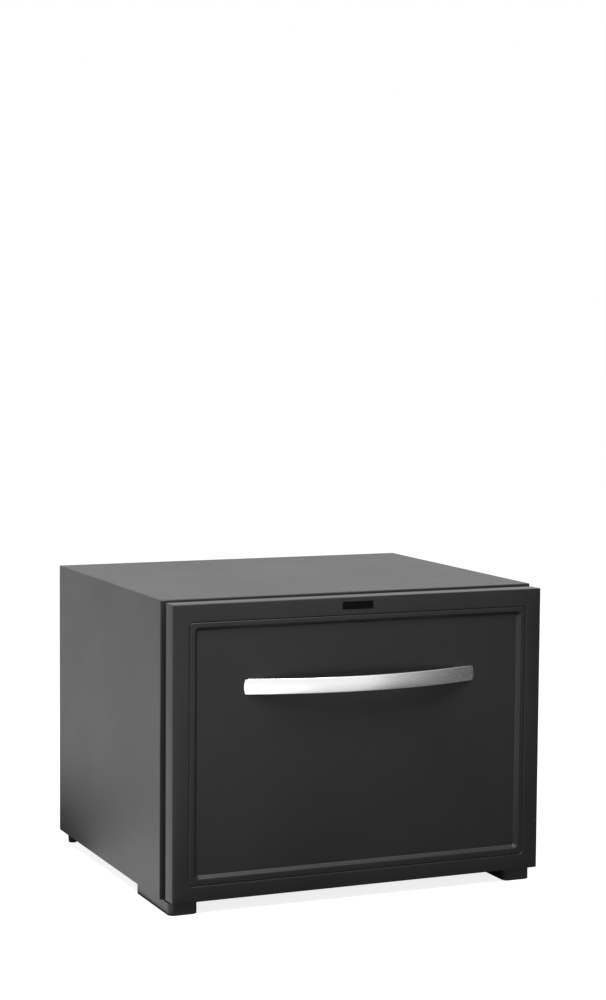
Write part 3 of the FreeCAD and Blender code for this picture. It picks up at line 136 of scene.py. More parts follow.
def buildEdgeSheenAndWear():  # painted edge highlight, partly wear where hands and cloths have polished the corners
    edgeGain, patchGain = 6.0, 1.4
    group, ins, out, here = startGroup("edgeSheenAndWear", "Mask", Radius=0.0012, Amount=0.5)
    normal = addNode(group, "ShaderNodeNewGeometry").outputs["Normal"]
    soft = addNode(group, "ShaderNodeBevel", samples=4, Radius=ins["Radius"])
    alike = vectors(group, "DOT_PRODUCT", soft.outputs[0], normal)
    turned = sums(group, "MULTIPLY", sums(group, "SUBTRACT", 1.0, alike), edgeGain, True)
    patch = addNode(group, "ShaderNodeTexNoise", Vector=here, Scale=38.0, Detail=4.0)
    uneven = sums(group, "MULTIPLY", turned, sums(group, "MULTIPLY", patch.outputs["Fac"], patchGain, True))
    group.links.new(sums(group, "MULTIPLY", uneven, ins["Amount"], True), out)
    return group


def buildBrush():  # long scratches; Stretch is how fast they change along each axis
    group, ins, out, here = startGroup("brush", "Value", Stretch=(4.0, 900.0, 900.0))
    pulled = vectors(group, "MULTIPLY", here, ins["Stretch"])
    fine = addNode(group, "ShaderNodeTexNoise", Vector=pulled, Scale=1.0, Detail=4.0, Roughness=0.7)
    group.links.new(fine.outputs["Fac"], out)
    return group


def buildDust():  # a little on what faces up
    levelPower = 4.0
    group, ins, out, here = startGroup("dust", "Mask", Amount=0.1)
    normal = addNode(group, "ShaderNodeNewGeometry").outputs["Normal"]
    upward = addNode(group, "ShaderNodeSeparateXYZ", Vector=normal).outputs["Z"]
    level = sums(group, "POWER", sums(group, "MAXIMUM", upward, 0.0), levelPower)
    drift = addNode(group, "ShaderNodeTexNoise", Vector=here, Scale=9.0, Detail=6.0, Roughness=0.65)
    lying = sums(group, "MULTIPLY", level, drift.outputs["Fac"])
    group.links.new(sums(group, "MULTIPLY", lying, ins["Amount"], True), out)
    return group


effects = {"cloud": buildCloud(), "grain": buildGrain(), "edgeSheenAndWear": buildEdgeSheenAndWear(), "brush": buildBrush(),
           "dust": buildDust()}


def useEffect(tree, name, **values):
    placed = addNode(tree, "ShaderNodeGroup", node_tree=effects[name])
    for label, value in values.items():
        placed.inputs[label].default_value = value
    return placed.outputs[0]


def blendColour(tree, mask, under, over):
    mix = addNode(tree, "ShaderNodeMix", data_type="RGBA")
    for place, value in ((0, mask), (6, under), (7, over)):
        feed(tree, mix.inputs[place], value)
    return mix.outputs[2]


# one entry for each finish; rough is the range over the blotches, grain is scale, crispness and strength,
# brush is stretch and strength, the edge entry is radius, amount and colour of a painted edge highlight that
# is partly wear, dust is amount and colour
finishLooks = {
    "black_paint": {"base": "1b1b1c", "other": "212122", "rough": (0.40, 0.50), "cloud": 5,
        "shine": 0.45, "grain": (1500, 0.0, 0.05), "edgeSheenAndWear": (0.0012, 0.35, "555657"), "dust": (0.10, "8a8986")},
    "front_plastic": {"base": "1d1d1e", "other": "232324", "rough": (0.26, 0.36), "cloud": 11,
        "shine": 0.24, "grain": (1900, 0.35, 0.06), "edgeSheenAndWear": (0.0010, 0.45, "555556")},
    "decor_black": {"base": "1c1c1d", "other": "222223", "rough": (0.36, 0.46), "cloud": 8,
        "shine": 0.26, "grain": (2600, 0.15, 0.04)},
    "badge_black": {"base": "020202", "other": "050505", "rough": (0.30, 0.38), "cloud": 30,
        "shine": 0.06, "grain": (900, 0.0, 0.01)},
    "handle_metal": {"base": "f4f4f5", "other": "eeeeef", "rough": (0.24, 0.29), "cloud": 8,
        "metal": 1.0, "brush": ((1.2, 4.0, 640.0), 0.008)},
    "foot_plastic": {"base": "2c2c2d", "other": "333334", "rough": (0.32, 0.42), "cloud": 18,
        "shine": 0.24, "grain": (1400, 0.6, 0.08), "edgeSheenAndWear": (0.0015, 0.35, "48484a"), "dust": (0.12, "5f5c57")},
    "zinc_steel": {"base": "9b9ea1", "other": "868a8e", "rough": (0.34, 0.50), "cloud": 34,
        "metal": 1.0, "brush": ((60.0, 60.0, 14.0), 0.03), "edgeSheenAndWear": (0.0006, 0.3, "c4c6c8")},
    "slide_steel": {"base": "a9acaf", "other": "989b9f", "rough": (0.22, 0.34), "cloud": 26,
        "metal": 1.0, "brush": ((700.0, 6.0, 700.0), 0.05)},
    "cage_steel": {"base": "8d9094", "other": "7b7e82", "rough": (0.28, 0.36), "cloud": 40,
        "metal": 1.0, "brush": ((500.0, 20.0, 500.0), 0.04)},
    "fastener_steel": {"base": "a2a5a8", "other": "8c8f92", "rough": (0.24, 0.36), "cloud": 120,
        "metal": 1.0, "brush": ((900.0, 900.0, 900.0), 0.03)},
    "rigid_foam": {"base": "d3c69d", "other": "c4b587", "rough": (0.85, 0.95), "cloud": 22,
        "grain": (520, 0.8, 0.4)},
    "liner_plastic": {"base": "c9cbcb", "other": "c0c2c2", "rough": (0.28, 0.38), "cloud": 6,
        "grain": (1100, 0.2, 0.04), "edgeSheenAndWear": (0.0015, 0.2, "d9dada")},
    "bin_plastic": {"base": "a9adb0", "other": "a0a4a8", "rough": (0.30, 0.42), "cloud": 10,
        "grain": (1600, 0.5, 0.08), "edgeSheenAndWear": (0.0010, 0.25, "c2c5c7")},
    "divider_plastic": {"base": "d6dde0", "other": "cdd5d9", "rough": (0.10, 0.18), "cloud": 12,
        "clear": 0.55, "grain": (500, 0.0, 0.01)},
    "seal_rubber": {"base": "0d0d0e", "other": "131314", "rough": (0.50, 0.62), "cloud": 25,
        "shine": 0.22, "grain": (2200, 0.0, 0.06)},
    "cast_aluminium": {"base": "b9bcbf", "other": "a7aaad", "rough": (0.42, 0.55), "cloud": 30,
        "metal": 1.0, "grain": (1300, 0.4, 0.15)},
    "housing_plastic": {"base": "bfc1c2", "other": "b6b8b9", "rough": (0.34, 0.44), "cloud": 14,
        "grain": (1700, 0.4, 0.07), "edgeSheenAndWear": (0.0010, 0.2, "d0d1d2")},
    "lens_plastic": {"base": "eef0ee", "other": "e2e5e2", "rough": (0.12, 0.2), "cloud": 40,
        "clear": 0.6, "grain": (400, 0.0, 0.01)},
    "knob_plastic": {"base": "2b2c2e", "other": "343537", "rough": (0.36, 0.46), "cloud": 60,
        "grain": (1800, 0.3, 0.07), "edgeSheenAndWear": (0.0006, 0.4, "58595b")},
    "unit_black": {"base": "1b1b1c", "other": "242425", "rough": (0.42, 0.60), "cloud": 16,
        "grain": (800, 0.1, 0.14), "edgeSheenAndWear": (0.0010, 0.5, "4b4a48"), "dust": (0.25, "7d7972")},
    "casing_aluminium": {"base": "a7abae", "other": "94989c", "rough": (0.32, 0.46), "cloud": 20,
        "metal": 1.0, "brush": ((420.0, 420.0, 9.0), 0.04), "dust": (0.08, "8c8982")},
    "drain_plastic": {"base": "b8bcbe", "other": "abafb1", "rough": (0.30, 0.42), "cloud": 50,
        "grain": (900, 0.0, 0.04)},
    "tray_plastic": {"base": "202122", "other": "29292a", "rough": (0.42, 0.54), "cloud": 24,
        "grain": (1500, 0.5, 0.1), "edgeSheenAndWear": (0.0010, 0.3, "474849"), "dust": (0.2, "7a766f")},
    "gland_plastic": {"base": "161617", "other": "1e1e1f", "rough": (0.40, 0.52), "cloud": 60,
        "grain": (1700, 0.4, 0.08)},
}
effectShare = {"streakRough": 0.06, "streakTone": (-0.3, 1.3), "polish": 0.12, "dustRough": 0.5,
               "bumpDeep": 0.0004}


def makeFinish(name, look, share):
    material = bpy.data.materials.new(name + "_finish")
    material.use_nodes = True
    tree = material.node_tree
    shader = tree.nodes["Principled BSDF"]
    clouds = useEffect(tree, "cloud", Scale=float(look["cloud"]))
    colour = blendColour(tree, clouds, tone(look["base"]), tone(look["other"]))
    rough = spread(tree, clouds, *look["rough"])
    if "grain" in look:
        scale, crisp, strength = look["grain"]
        height = useEffect(tree, "grain", Scale=float(scale), Crisp=crisp)
    else:
        stretch, strength = look["brush"]
        height = useEffect(tree, "brush", Stretch=stretch)
        smooth, dull = look["rough"]
        streak = spread(tree, height, smooth - share["streakRough"], dull + share["streakRough"])
        rough = sums(tree, "MULTIPLY", sums(tree, "ADD", rough, streak), 0.5)
        colour = blendColour(tree, spread(tree, height, *share["streakTone"]), tone(look["other"]), colour)
    # painted edge highlight, partly wear: the edges blend towards a lighter colour
    if "edgeSheenAndWear" in look:
        radius, amount, shown = look["edgeSheenAndWear"]
        mask = useEffect(tree, "edgeSheenAndWear", Radius=radius, Amount=amount)
        colour = blendColour(tree, mask, colour, tone(shown))
        rough = sums(tree, "SUBTRACT", rough, sums(tree, "MULTIPLY", mask, share["polish"]), True)
    if "dust" in look:
        amount, shown = look["dust"]
        mask = useEffect(tree, "dust", Amount=amount)
        colour = blendColour(tree, mask, colour, tone(shown))
        rough = sums(tree, "ADD", rough, sums(tree, "MULTIPLY", mask, share["dustRough"]), True)
    tree.links.new(colour, shader.inputs["Base Color"])
    tree.links.new(rough, shader.inputs["Roughness"])
    bump = addNode(tree, "ShaderNodeBump", Strength=strength, Distance=share["bumpDeep"], Height=height)
    tree.links.new(bump.outputs[0], shader.inputs["Normal"])
    shader.inputs["Metallic"].default_value = look.get("metal", 0.0)
    shader.inputs["Specular IOR Level"].default_value = look.get("shine", 0.5)
    shader.inputs["Transmission Weight"].default_value = look.get("clear", 0.0)
    material.diffuse_color = tone(look["base"])
    return material


finishes = {name: makeFinish(name, look, effectShare) for name, look in finishLooks.items()}
print("minibar: finishes mixed,", len(finishes))


# mesh building blocks; a shape is a pair of points and faces
def sharpEdges(mesh, angle):
    sides = {}
    for face in mesh.polygons:
        for key in face.edge_keys:
            sides.setdefault(key, []).append(face.normal)
    limit = math.cos(math.radians(angle))
    pairs = [(edge, sides.get(edge.key, ())) for edge in mesh.edges]
    return [edge for edge, pair in pairs if len(pair) == 2 and pair[0].dot(pair[1]) < limit]


def standIn(node, name, shape, angle=35):  # a finer piece in place of one node, sharp where it turns by angle
    mesh = bpy.data.meshes.new(name)
    mesh.from_pydata([Vector(p) for p in shape[0]], [], shape[1])
    work = bmesh.new()
    work.from_mesh(mesh)
    bmesh.ops.remove_doubles(work, verts=work.verts, dist=sameSpot)
    bmesh.ops.dissolve_degenerate(work, edges=work.edges, dist=sameSpot)
    bmesh.ops.recalc_face_normals(work, faces=work.faces)
    work.to_mesh(mesh)
    work.free()
    piece = bpy.data.objects.new(name, mesh)
    bpy.context.scene.collection.objects.link(piece)
    mesh.materials.append(finishes[slotOf[node]])
    mesh.shade_smooth()
    for edge in sharpEdges(mesh, angle):
        edge.use_edge_sharp = True
    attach(piece, bodyOf[node])
    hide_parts(node)


def roundedRing(u0, u1, v0, v1, r, steps=7):
    corners = [(u1 - r, v1 - r, 0), (u0 + r, v1 - r, 90), (u0 + r, v0 + r, 180), (u1 - r, v0 + r, 270)]
    ring = []
    for u, v, start in corners:
        for k in range(steps + 1):
            along, up = polar(start + 90 * k / steps, r)
            ring.append((u + along, v + up))
    return ring


def skin(rings, ends="capped"):  # quads between rings of equal count; ends are capped, open or looped
    count = len(rings[0])
    points = [p for ring in rings for p in ring]
    faces = []
    for i in range(len(rings) - (ends != "looped")):
        a, b = i * count, (i + 1) % len(rings) * count
        faces += [(a + k, a + (k + 1) % count, b + (k + 1) % count, b + k) for k in range(count)]
    if ends == "capped":
        faces += [tuple(range(count)), tuple(range(len(points) - count, len(points)))]
    return points, faces


def lathe(centre, axis, profile, sides=32):  # profile is (along, radius); axis is X, Y or Z
    first = "XYZ".index(axis)
    rings = []
    for along, radius in profile:
        ring = []
        for k in range(sides):
            spot = (along, *polar(360 * k / sides, radius))
            ring.append(centre + Vector([spot[(i - first) % 3] for i in range(3)]))
        rings.append(ring)
    return rings


def bentPath(corners, bend, steps=6):  # straight runs with round bends
    path = [Vector(corners[0])]
    for before, corner, after in zip(corners, corners[1:], corners[2:]):
        corner = Vector(corner)
        back, on = (Vector(before) - corner).normalized(), (Vector(after) - corner).normalized()
        centre = corner + (back + on) * bend
        for k in range(steps + 1):
            c, s = polar(90 * k / steps, 1)
            path.append(centre - on * bend * c - back * bend * s)
    return path + [Vector(corners[-1])]


def tubeAlong(path, radius, sides=20):
    circle = [polar(360 * k / sides, 1) for k in range(sides)]
    across = Vector((0.31, 0.67, 0.67))  # slanted to all axes, so no path starts along it
    rings = []
    for i, here in enumerate(path):
        ahead = (path[min(i + 1, len(path) - 1)] - path[max(i - 1, 0)]).normalized()
        across = (across - ahead * across.dot(ahead)).normalized()
        other = ahead.cross(across)
        rings.append([here + (across * c + other * s) * radius for c, s in circle])
    return skin(rings)


def joined(*shapes):
    points, faces = [], []
    for somePoints, someFaces in shapes:
        faces += [tuple(i + len(points) for i in face) for face in someFaces]
        points += list(somePoints)
    return points, faces


def slab(low, high):
    ends = list(zip(low, high))
    corners = [Vector((x, y, z)) for x in ends[0] for y in ends[1] for z in ends[2]]
    return corners, [(0, 1, 3, 2), (4, 6, 7, 5), (0, 4, 5, 1), (2, 3, 7, 6), (0, 2, 6, 4), (1, 5, 7, 3)]


def islands(node):  # boxes of a node's separate solids
    work = bmesh.new()
    work.from_mesh(nodes[node].data)
    bmesh.ops.remove_doubles(work, verts=work.verts, dist=sameSpot)
    left, boxes = set(work.verts), []
    while left:
        heap, found = [left.pop()], []
        while heap:
            vertex = heap.pop()
            found.append(vertex.co.copy())
            for edge in vertex.link_edges:
                other = edge.other_vert(vertex)
                if other in left:
                    left.discard(other)
                    heap.append(other)
        boxes.append([Vector([end(p[i] for p in found) for i in range(3)]) for end in (min, max)])
    work.free()
    return sorted(boxes, key=lambda b: tuple(round(v, 5) for v in b[0]))


# carried-over solids: facets joined to flats, a small bevel that catches light; widths in millimetres
easeLook = {"weld": 1e-5, "flat": 0.2, "sharp": 35, "steps": 2, "weight": 90}
easedEdges = {
    0.15: ("back_panel", "slide_outer_left", "slide_outer_right", "slide_middle_left", "slide_middle_right",
           "slide_inner_left", "slide_inner_right"),
    0.2: ("base_pan", "decor_panel"),
    0.25: ("bin_carrier_left", "bin_carrier_right", "evaporator", "drip_gutter", "unit_plate",
           "vessel_bracket_left", "vessel_bracket_right"),
    0.3: ("bin_divider_left", "bin_divider_right"),
    0.35: ("drip_tray",),
    0.4: ("terminal_box",),
    0.5: ("door_liner", "inner_liner", "control_housing", "boiler_casing"),
}
bevelOf = {name: width / 1000 for width, names in easedEdges.items() for name in names}


def easeNode(name, look):
    piece = nodes[name]
    for worn in ("custom_normal", "sharp_edge"):
        if worn in piece.data.attributes:
            piece.data.attributes.remove(piece.data.attributes[worn])
    piece.data.shade_smooth()
    weld = piece.modifiers.new("weld", "WELD")
    weld.merge_threshold = look["weld"]
    flats = piece.modifiers.new("flats", "DECIMATE")
    flats.decimate_type = "DISSOLVE"
    flats.angle_limit = math.radians(look["flat"])
    if name in bevelOf:
        bevel = piece.modifiers.new("bevel", "BEVEL")
        bevel.width = bevelOf[name]
        bevel.segments = look["steps"]
        bevel.limit_method = "ANGLE"
        bevel.angle_limit = math.radians(look["sharp"])
        bevel.harden_normals = True
    normals = piece.modifiers.new("normals", "WEIGHTED_NORMAL")
    normals.keep_sharp = True
    normals.weight = look["weight"]


for name, piece in nodes.items():
    piece.data.materials[0] = finishes[slotOf[name]]
    easeNode(name, easeLook)
print("minibar: solids dressed")


# drawer front: a moulded shell round a frame; threes are insets at the sides, the foot and the top,
# fall pairs are shares of the slope and of the recess
frontLook = {"edgeRound": 1.4, "shell": 2.5, "backEase": 0.4, "corner": 1.0, "backCorner": 0.8,
             "innerCorner": 0.4, "groove": (22.5, 20.5, 23.5), "grooveRound": 0.8, "grooveCorner": 5.5,
             "grooveGap": 0.06, "roundSteps": 4}
frameLook = {"edgeRound": 1.1, "deep": 8, "rim": (30, 29, 30), "rimCorner": 6, "rimCloses": 3,
             "slope": 4.5, "recess": 4.4, "tuck": 8,
             "fall": ((-0.13, 0), (-0.05, 0.012), (0.03, 0.048), (0.1, 0.105), (0.5, 0.5), (0.95, 0.95),
                      (1.0, 1.0))}
easedLip = ((0, 1.1), (0.1, 0.84), (0.8, 0.16), (1, 0.04), (1.5, 0))  # away from the groove, deep, in radii


def frontRing(insets, depth, corner):  # depth is behind the front's face
    low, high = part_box("door_shell")
    side, foot, top = (inset / 1000 for inset in insets)
    ring = roundedRing(low.x + side, high.x - side, low.z + foot, high.z - top, corner / 1000)
    return [Vector((u, low.y + depth / 1000, v)) for u, v in ring]


def makeDoorShell(look):
    low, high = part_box("door_shell")
    deep = (high.y - low.y) * 1000
    shell, ease, r, g = (look[key] for key in ("shell", "backEase", "edgeRound", "grooveRound"))
    rings = [frontRing([shell] * 3, deep, look["innerCorner"]),
             frontRing([ease] * 3, deep, look["backCorner"]), frontRing([0] * 3, deep - ease, look["corner"])]
    for step in range(look["roundSteps"] + 1):
        along, depth = (r + part for part in polar(180 + 90 * step / look["roundSteps"], r))
        rings.append(frontRing([along] * 3, depth, max(look["corner"], along)))
    for away, depth in reversed(easedLip):  # into the groove
        insets = [inset - away * g for inset in look["groove"]]
        rings.append(frontRing(insets, depth * g, look["grooveCorner"] + away * g))
    rings.append(frontRing(look["groove"], shell, look["grooveCorner"]))
    rings.append(frontRing([shell] * 3, shell, look["innerCorner"]))
    standIn("door_shell", "doorShell", skin(rings, "looped"))


def makePanelFrame(look, front):
    g, deep, slope = look["edgeRound"], look["deep"], look["slope"]
    outer = [inset + front["grooveGap"] for inset in front["groove"]]
    corner = front["grooveCorner"] - front["grooveGap"]
    rings = [frontRing(outer, deep, corner)]
    for away, depth in easedLip:  # out of the groove
        rings.append(frontRing([inset + away * g for inset in outer], depth * g, corner - away * g))
    for share, fall in look["fall"]:  # down the slope
        insets = [inset + slope * share for inset in look["rim"]]
        corner = look["rimCorner"] - look["rimCloses"] * max(share, 0)
        rings.append(frontRing(insets, fall * look["recess"], corner))
    tucked = [inset + slope - look["tuck"] for inset in look["rim"]]
    rings.append(frontRing(tucked, look["recess"], look["rimCorner"]))
    rings.append(frontRing(tucked, deep, look["rimCorner"]))
    standIn("panel_frame", "panelFrame", skin(rings, "looped"))


makeDoorShell(frontLook)
makePanelFrame(frameLook, frontLook)
print("minibar: drawer front moulded")


# bare badge plate: a dished face inside a thin raised rim
badgeLook = {"thick": 0.8, "wall": 0.55, "edge": 0.2, "rim": 0.9, "rimStep": 0.2, "rimHigh": 0.25,
             "dish": (2.2, 0.04), "corner": 1.2, "leastCorner": 0.25, "cornerSteps": 5}


def makeBadge(look):
    low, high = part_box("badge_plate")
    thick, rim, floor = look["thick"], look["rim"], look["thick"] - look["rimHigh"]
    steps = [(0, 0), (0, look["wall"]), (look["edge"], thick), (rim, thick), (rim + look["rimStep"], floor),
             (rim + look["dish"][0], floor + look["dish"][1])]
    rings = []
    for inset, out in steps:
        i, corner = inset / 1000, max(look["corner"] - inset, look["leastCorner"]) / 1000
        ring = roundedRing(low.x + i, high.x - i, low.z + i, high.z - i, corner, look["cornerSteps"])
        rings.append([Vector((u, high.y - out / 1000, v)) for u, v in ring])
    standIn("badge_plate", "badgePlate", skin(rings))


makeBadge(badgeLook)


# bow handle: domed strap on a circular bow, its ends cut flat on the panel
handleLook = {"rise": 30, "span": 332, "thick": 6.5, "dome": 0.7, "soft": 0.9, "softTurns": (25, 50, 75, 90),
              "backEase": 0.4, "endRound": 0.8, "crownSteps": 16, "stations": 120}


def makeHandle(look):
    low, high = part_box("handle")
    panel, middle, reach = high.y, (low.z + high.z) / 2, (high.z - low.z) / 2
    rise, span, thick, dome = metres(look, "rise", "span", "thick", "dome")
    soft, ease, end = metres(look, "soft", "backEase", "endRound")
    bow = ((span / 2) ** 2 + rise ** 2) / (2 * rise)
    centre = panel - rise + bow
    section = []  # depth under the crown, height
    for k in range(look["crownSteps"] + 1):
        v = (reach - soft) * (1 - 2 * k / look["crownSteps"])
        section.append((dome * (v / reach) ** 2, v))
    shoulder = section[-1][0] + soft
    turns = [polar(turn, soft) for turn in look["softTurns"]]
    lower = [(shoulder - c, soft - reach - s) for c, s in turns]
    section += lower + [(thick - ease, -reach), (thick, ease - reach), (thick, reach - ease),
                        (thick - ease, reach)]
    section += [(depth, -v) for depth, v in reversed(lower)]
    rings = []
    for k in range(look["stations"] + 1):
        ring = []
        for depth, v in section:  # each line of the bow ends where it meets the panel
            radius = bow - depth
            most = math.acos((centre - panel) / radius)
            turn = most * (-1 + 2 * k / look["stations"])
            short = max(end - radius * (most - abs(turn)), 0)
            pulled = end - math.sqrt(max(end ** 2 - short ** 2, 0))
            lift = math.copysign(min(abs(v), reach - pulled), v)
            ring.append(Vector((radius * math.sin(turn), centre - radius * math.cos(turn), middle + lift)))
        rings.append(ring)
    standIn("handle", "bowHandle", skin(rings), angle=40)


makeHandle(handleLook)
print("minibar: badge and handle")


# magnetic seal: foot strip, bellows and the bulb that meets the cabinet lips; half a profile, (along, out)
sealLook = {"wide": 14, "corner": 0.4, "cornerSteps": 1,
            "profile": ((0, 0), (0, 1.6), (0.6, 2.15), (3.0, 2.35), (3.7, 3.0), (2.6, 3.9), (3.3, 4.9),
                        (1.1, 5.8), (0.25, 6.5), (0, 7.3), (0, 9.8), (0.5, 10.5), (1.3, 10.75))}


def makeSeal(look):
    low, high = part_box("door_gasket")
    profile = list(look["profile"])
    profile += [(look["wide"] - along, out) for along, out in reversed(profile)]
    rings = []
    for along, out in profile:
        a, corner = along / 1000, look["corner"] / 1000
        ring = roundedRing(low.x + a, high.x - a, low.z + a, high.z - a, corner, look["cornerSteps"])
        rings.append([Vector((u, low.y + out / 1000, v)) for u, v in ring])
    standIn("door_gasket", "doorSeal", skin(rings, "looped"), angle=50)


makeSeal(sealLook)


# drawer bin: thin drafted walls, rolled rim, ribs on the floor; ease pairs are (inwards, up)
binLook = {"rim": 6, "rimThick": 3, "rimRound": 0.7, "rimUnder": 0.5, "rimFillet": (0.1, 0.8), "wall": 2.4,
           "taper": 3.4, "corner": 12, "leastCorner": 3, "footEase": ((3, 0), (0.8, 0.2), (0, 1.2)),
           "floorEase": ((0, 1.4), (0.56, 0.42), (1.4, 0)), "rib": (3, 1.5),
           "ribEase": ((0.3, 0.5), (0.8, 0)), "ribs": 5}


def makeBin(look):
    low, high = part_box("drawer_bin")
    bottom, top = low.z * 1000, high.z * 1000
    rim, wall, e, u = (look[key] for key in ("rim", "wall", "rimRound", "rimUnder"))
    outer = rim + look["taper"]
    under, floor = top - look["rimThick"], bottom + wall
    near, drop = look["rimFillet"]
    outline = [(outer + along, bottom + up) for along, up in look["footEase"]]
    outline += [(rim + near, under - drop), (rim - e, under), (u, under), (0, under + u), (0, top - e),
                (e, top), (rim + wall - e, top), (rim + wall, top - e)]
    outline += [(outer + wall + along, floor + up) for along, up in look["floorEase"]]
    rings = []
    for inset, z in outline:
        i, corner = inset / 1000, max(look["corner"] + rim - inset, look["leastCorner"]) / 1000
        ring = roundedRing(low.x + i, high.x - i, low.y + i, high.y - i, corner)
        rings.append([Vector((x, y, z / 1000)) for x, y in ring])
    shapes = [skin(rings)]
    wide, tall = look["rib"]
    half = [(0, 0)] + [(along, tall - down) for along, down in look["ribEase"]]
    section = half + [(wide - along, up) for along, up in reversed(half)]
    inset = (outer + wall + look["corner"]) / 1000
    first, last = low.x + inset, high.x - inset - wide / 1000
    for k in range(look["ribs"]):
        x = first + (last - first) * k / (look["ribs"] - 1)
        shapes.append(skin([[Vector((x + along / 1000, y, (floor + up) / 1000)) for along, up in section]
                            for y in (low.y + inset, high.y - inset)]))
    standIn("drawer_bin", "drawerBin", joined(*shapes))


makeBin(binLook)
print("minibar: seal and bin")


# front feet: long blocks, round at the front, square at the back, with two sunk screw holes
frontFootLook = {"corner": 8, "tail": 0.8, "cornerSteps": 8, "edge": 0.8, "edgeStep": 0.3, "seatPlay": 0.3,
                 "shank": 2.3, "holeSides": 24}


def makeFrontFoot(side, look):
    low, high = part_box("front_foot_" + side)
    deep = (low.z + high.z) / 2
    front, rear, edge, play, shank = metres(look, "corner", "tail", "edge", "seatPlay", "shank")
    holes = [((a + b) / 2, (b.x - a.x) / 2 + play) for a, b in islands("foot_screws")
             if low.x < (a.x + b.x) / 2 < high.x]
    corners = ((high.x - rear, high.y - rear, rear, 0), (low.x + rear, high.y - rear, rear, 90),
               (low.x + front, low.y + front, front, 180), (high.x - front, low.y + front, front, 270))

    def outline(inset, z):
        ring = []
        for x, y, r, start in corners:
            for k in range(look["cornerSteps"] + 1):
                along, back = polar(start + 90 * k / look["cornerSteps"], max(r - inset, 0))
                ring.append(Vector((x + along, y + back, z)))
        return ring

    def circle(spot, r, z):
        turns = [polar(360 * k / look["holeSides"], r) for k in range(look["holeSides"])]
        return [Vector((spot.x + along, spot.y + back, z)) for along, back in turns]

    def pierced(rings):  # flat face with round openings
        return [p for ring in rings for p in ring], tessellate_polygon(rings)

    step = edge * look["edgeStep"]
    sides = [outline(edge, low.z), outline(step, low.z + step), outline(0, low.z + edge), outline(0, high.z)]
    shapes = [skin(sides, "open"), pierced([sides[0]] + [circle(spot, r, low.z) for spot, r in holes]),
              pierced([sides[-1]] + [circle(spot, shank, high.z) for spot, r in holes])]
    for spot, r in holes:
        walls = ((r, low.z), (r, deep), (shank, deep), (shank, high.z))
        shapes.append(skin([circle(spot, radius, z) for radius, z in walls], "open"))
    standIn("front_foot_" + side, "frontFoot" + side.title(), joined(*shapes))


# rear feet: turned plugs, narrower at the floor; pairs are (up, radius past the part's start)
rearFootLook = {"taper": 1.3, "sole": ((0, -3.0), (0, -1.2), (0.3, -0.4), (1.0, 0)),
                "shoulder": ((15.0, 0), (15.8, -0.3), (16.0, -0.8)), "plug": ((16.0, 3.0), (19.0, 2.9))}


def makeRearFoot(side, look):
    low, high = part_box("rear_foot_" + side)
    centre = Vector(((low.x + high.x) / 2, (low.y + high.y) / 2, 0))
    full = (high.x - low.x) / 2 * 1000
    starts = {"sole": full - look["taper"], "shoulder": full, "plug": 0}
    profile = [(up / 1000, (start + r) / 1000) for part, start in starts.items() for up, r in look[part]]
    standIn("rear_foot_" + side, "rearFoot" + side.title(), skin(lathe(centre, "Z", profile)))


for side in ("left", "right"):
    makeFrontFoot(side, frontFootLook)
for side in ("left", "right"):
    makeRearFoot(side, rearFootLook)


# ball cages: the strip stays as it is, its faceted balls become round ones; ballMost is across a ball's box
cageLook = {"ballMost": 6, "slack": 0.01, "segments": 16, "rings": 10}


def makeCage(member, side, look):
    node = f"slide_cage_{member}_{side}"
    most, slack = metres(look, "ballMost", "slack")
    work = bmesh.new()
    work.from_mesh(nodes[node].data)
    bmesh.ops.remove_doubles(work, verts=work.verts, dist=sameSpot)
    balls = [(low, high) for low, high in islands(node) if (high - low).length < most]

    def inBall(spot):
        return any(all(low[i] - slack < spot[i] < high[i] + slack for i in range(3)) for low, high in balls)

    bmesh.ops.delete(work, geom=[v for v in work.verts if inBall(v.co)], context="VERTS")
    for low, high in balls:
        spot = Matrix.Translation((low + high) / 2)
        bmesh.ops.create_uvsphere(work, u_segments=look["segments"], v_segments=look["rings"],
                                  radius=(high.y - low.y) / 2, matrix=spot)
    work.verts.index_update()
    points = [v.co.copy() for v in work.verts]
    faces = [tuple(v.index for v in face.verts) for face in work.faces]
    work.free()
    standIn(node, "cage" + member.title() + side.title(), (points, faces), angle=40)


for member in ("outer", "inner"):
    for side in ("left", "right"):
        makeCage(member, side, cageLook)
print("minibar: feet and ball cages")


# cooling unit: round pipes and vessels; pairs are along and what is added to the radius
pipeLook = {"radius": 8, "bend": 16, "sides": 22}
condenserLook = {"fins": 15, "thick": 1.0, "pitch": 20, "half": 22, "corner": 2.5, "cornerSteps": 3,
                 "collar": ((0, 1.6), (2.2, 0.9), (3, 0.3))}
coilLook = {"firstRise": 40, "lastDrop": 42, "rows": 4, "bendShare": 0.38, "start": 27, "clear": 4}
vesselLook = {"sides": 48, "nose": 4, "noseStep": 0.4, "noseShare": 0.35, "dishLong": 10, "dishRound": 12,
              "seam": ((13, 0), (13.5, -0.6), (15.5, -0.6), (16, 0))}
exchangerLook = {"sides": 28, "ease": ((0, -0.6), (1.2, 0))}

pipe, bend = metres(pipeLook, "radius", "bend")
vesselLow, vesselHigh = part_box("absorber_vessel")
stubLow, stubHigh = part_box("evaporator_pipes")
unitY, vesselZ = (vesselLow.y + vesselHigh.y) / 2, (vesselLow.z + vesselHigh.z) / 2
stubX, stubZ = stubHigh.x - pipe, stubHigh.z - pipe


def unitPipe(corners, bend):
    return tubeAlong(bentPath(corners, bend), pipe, pipeLook["sides"])


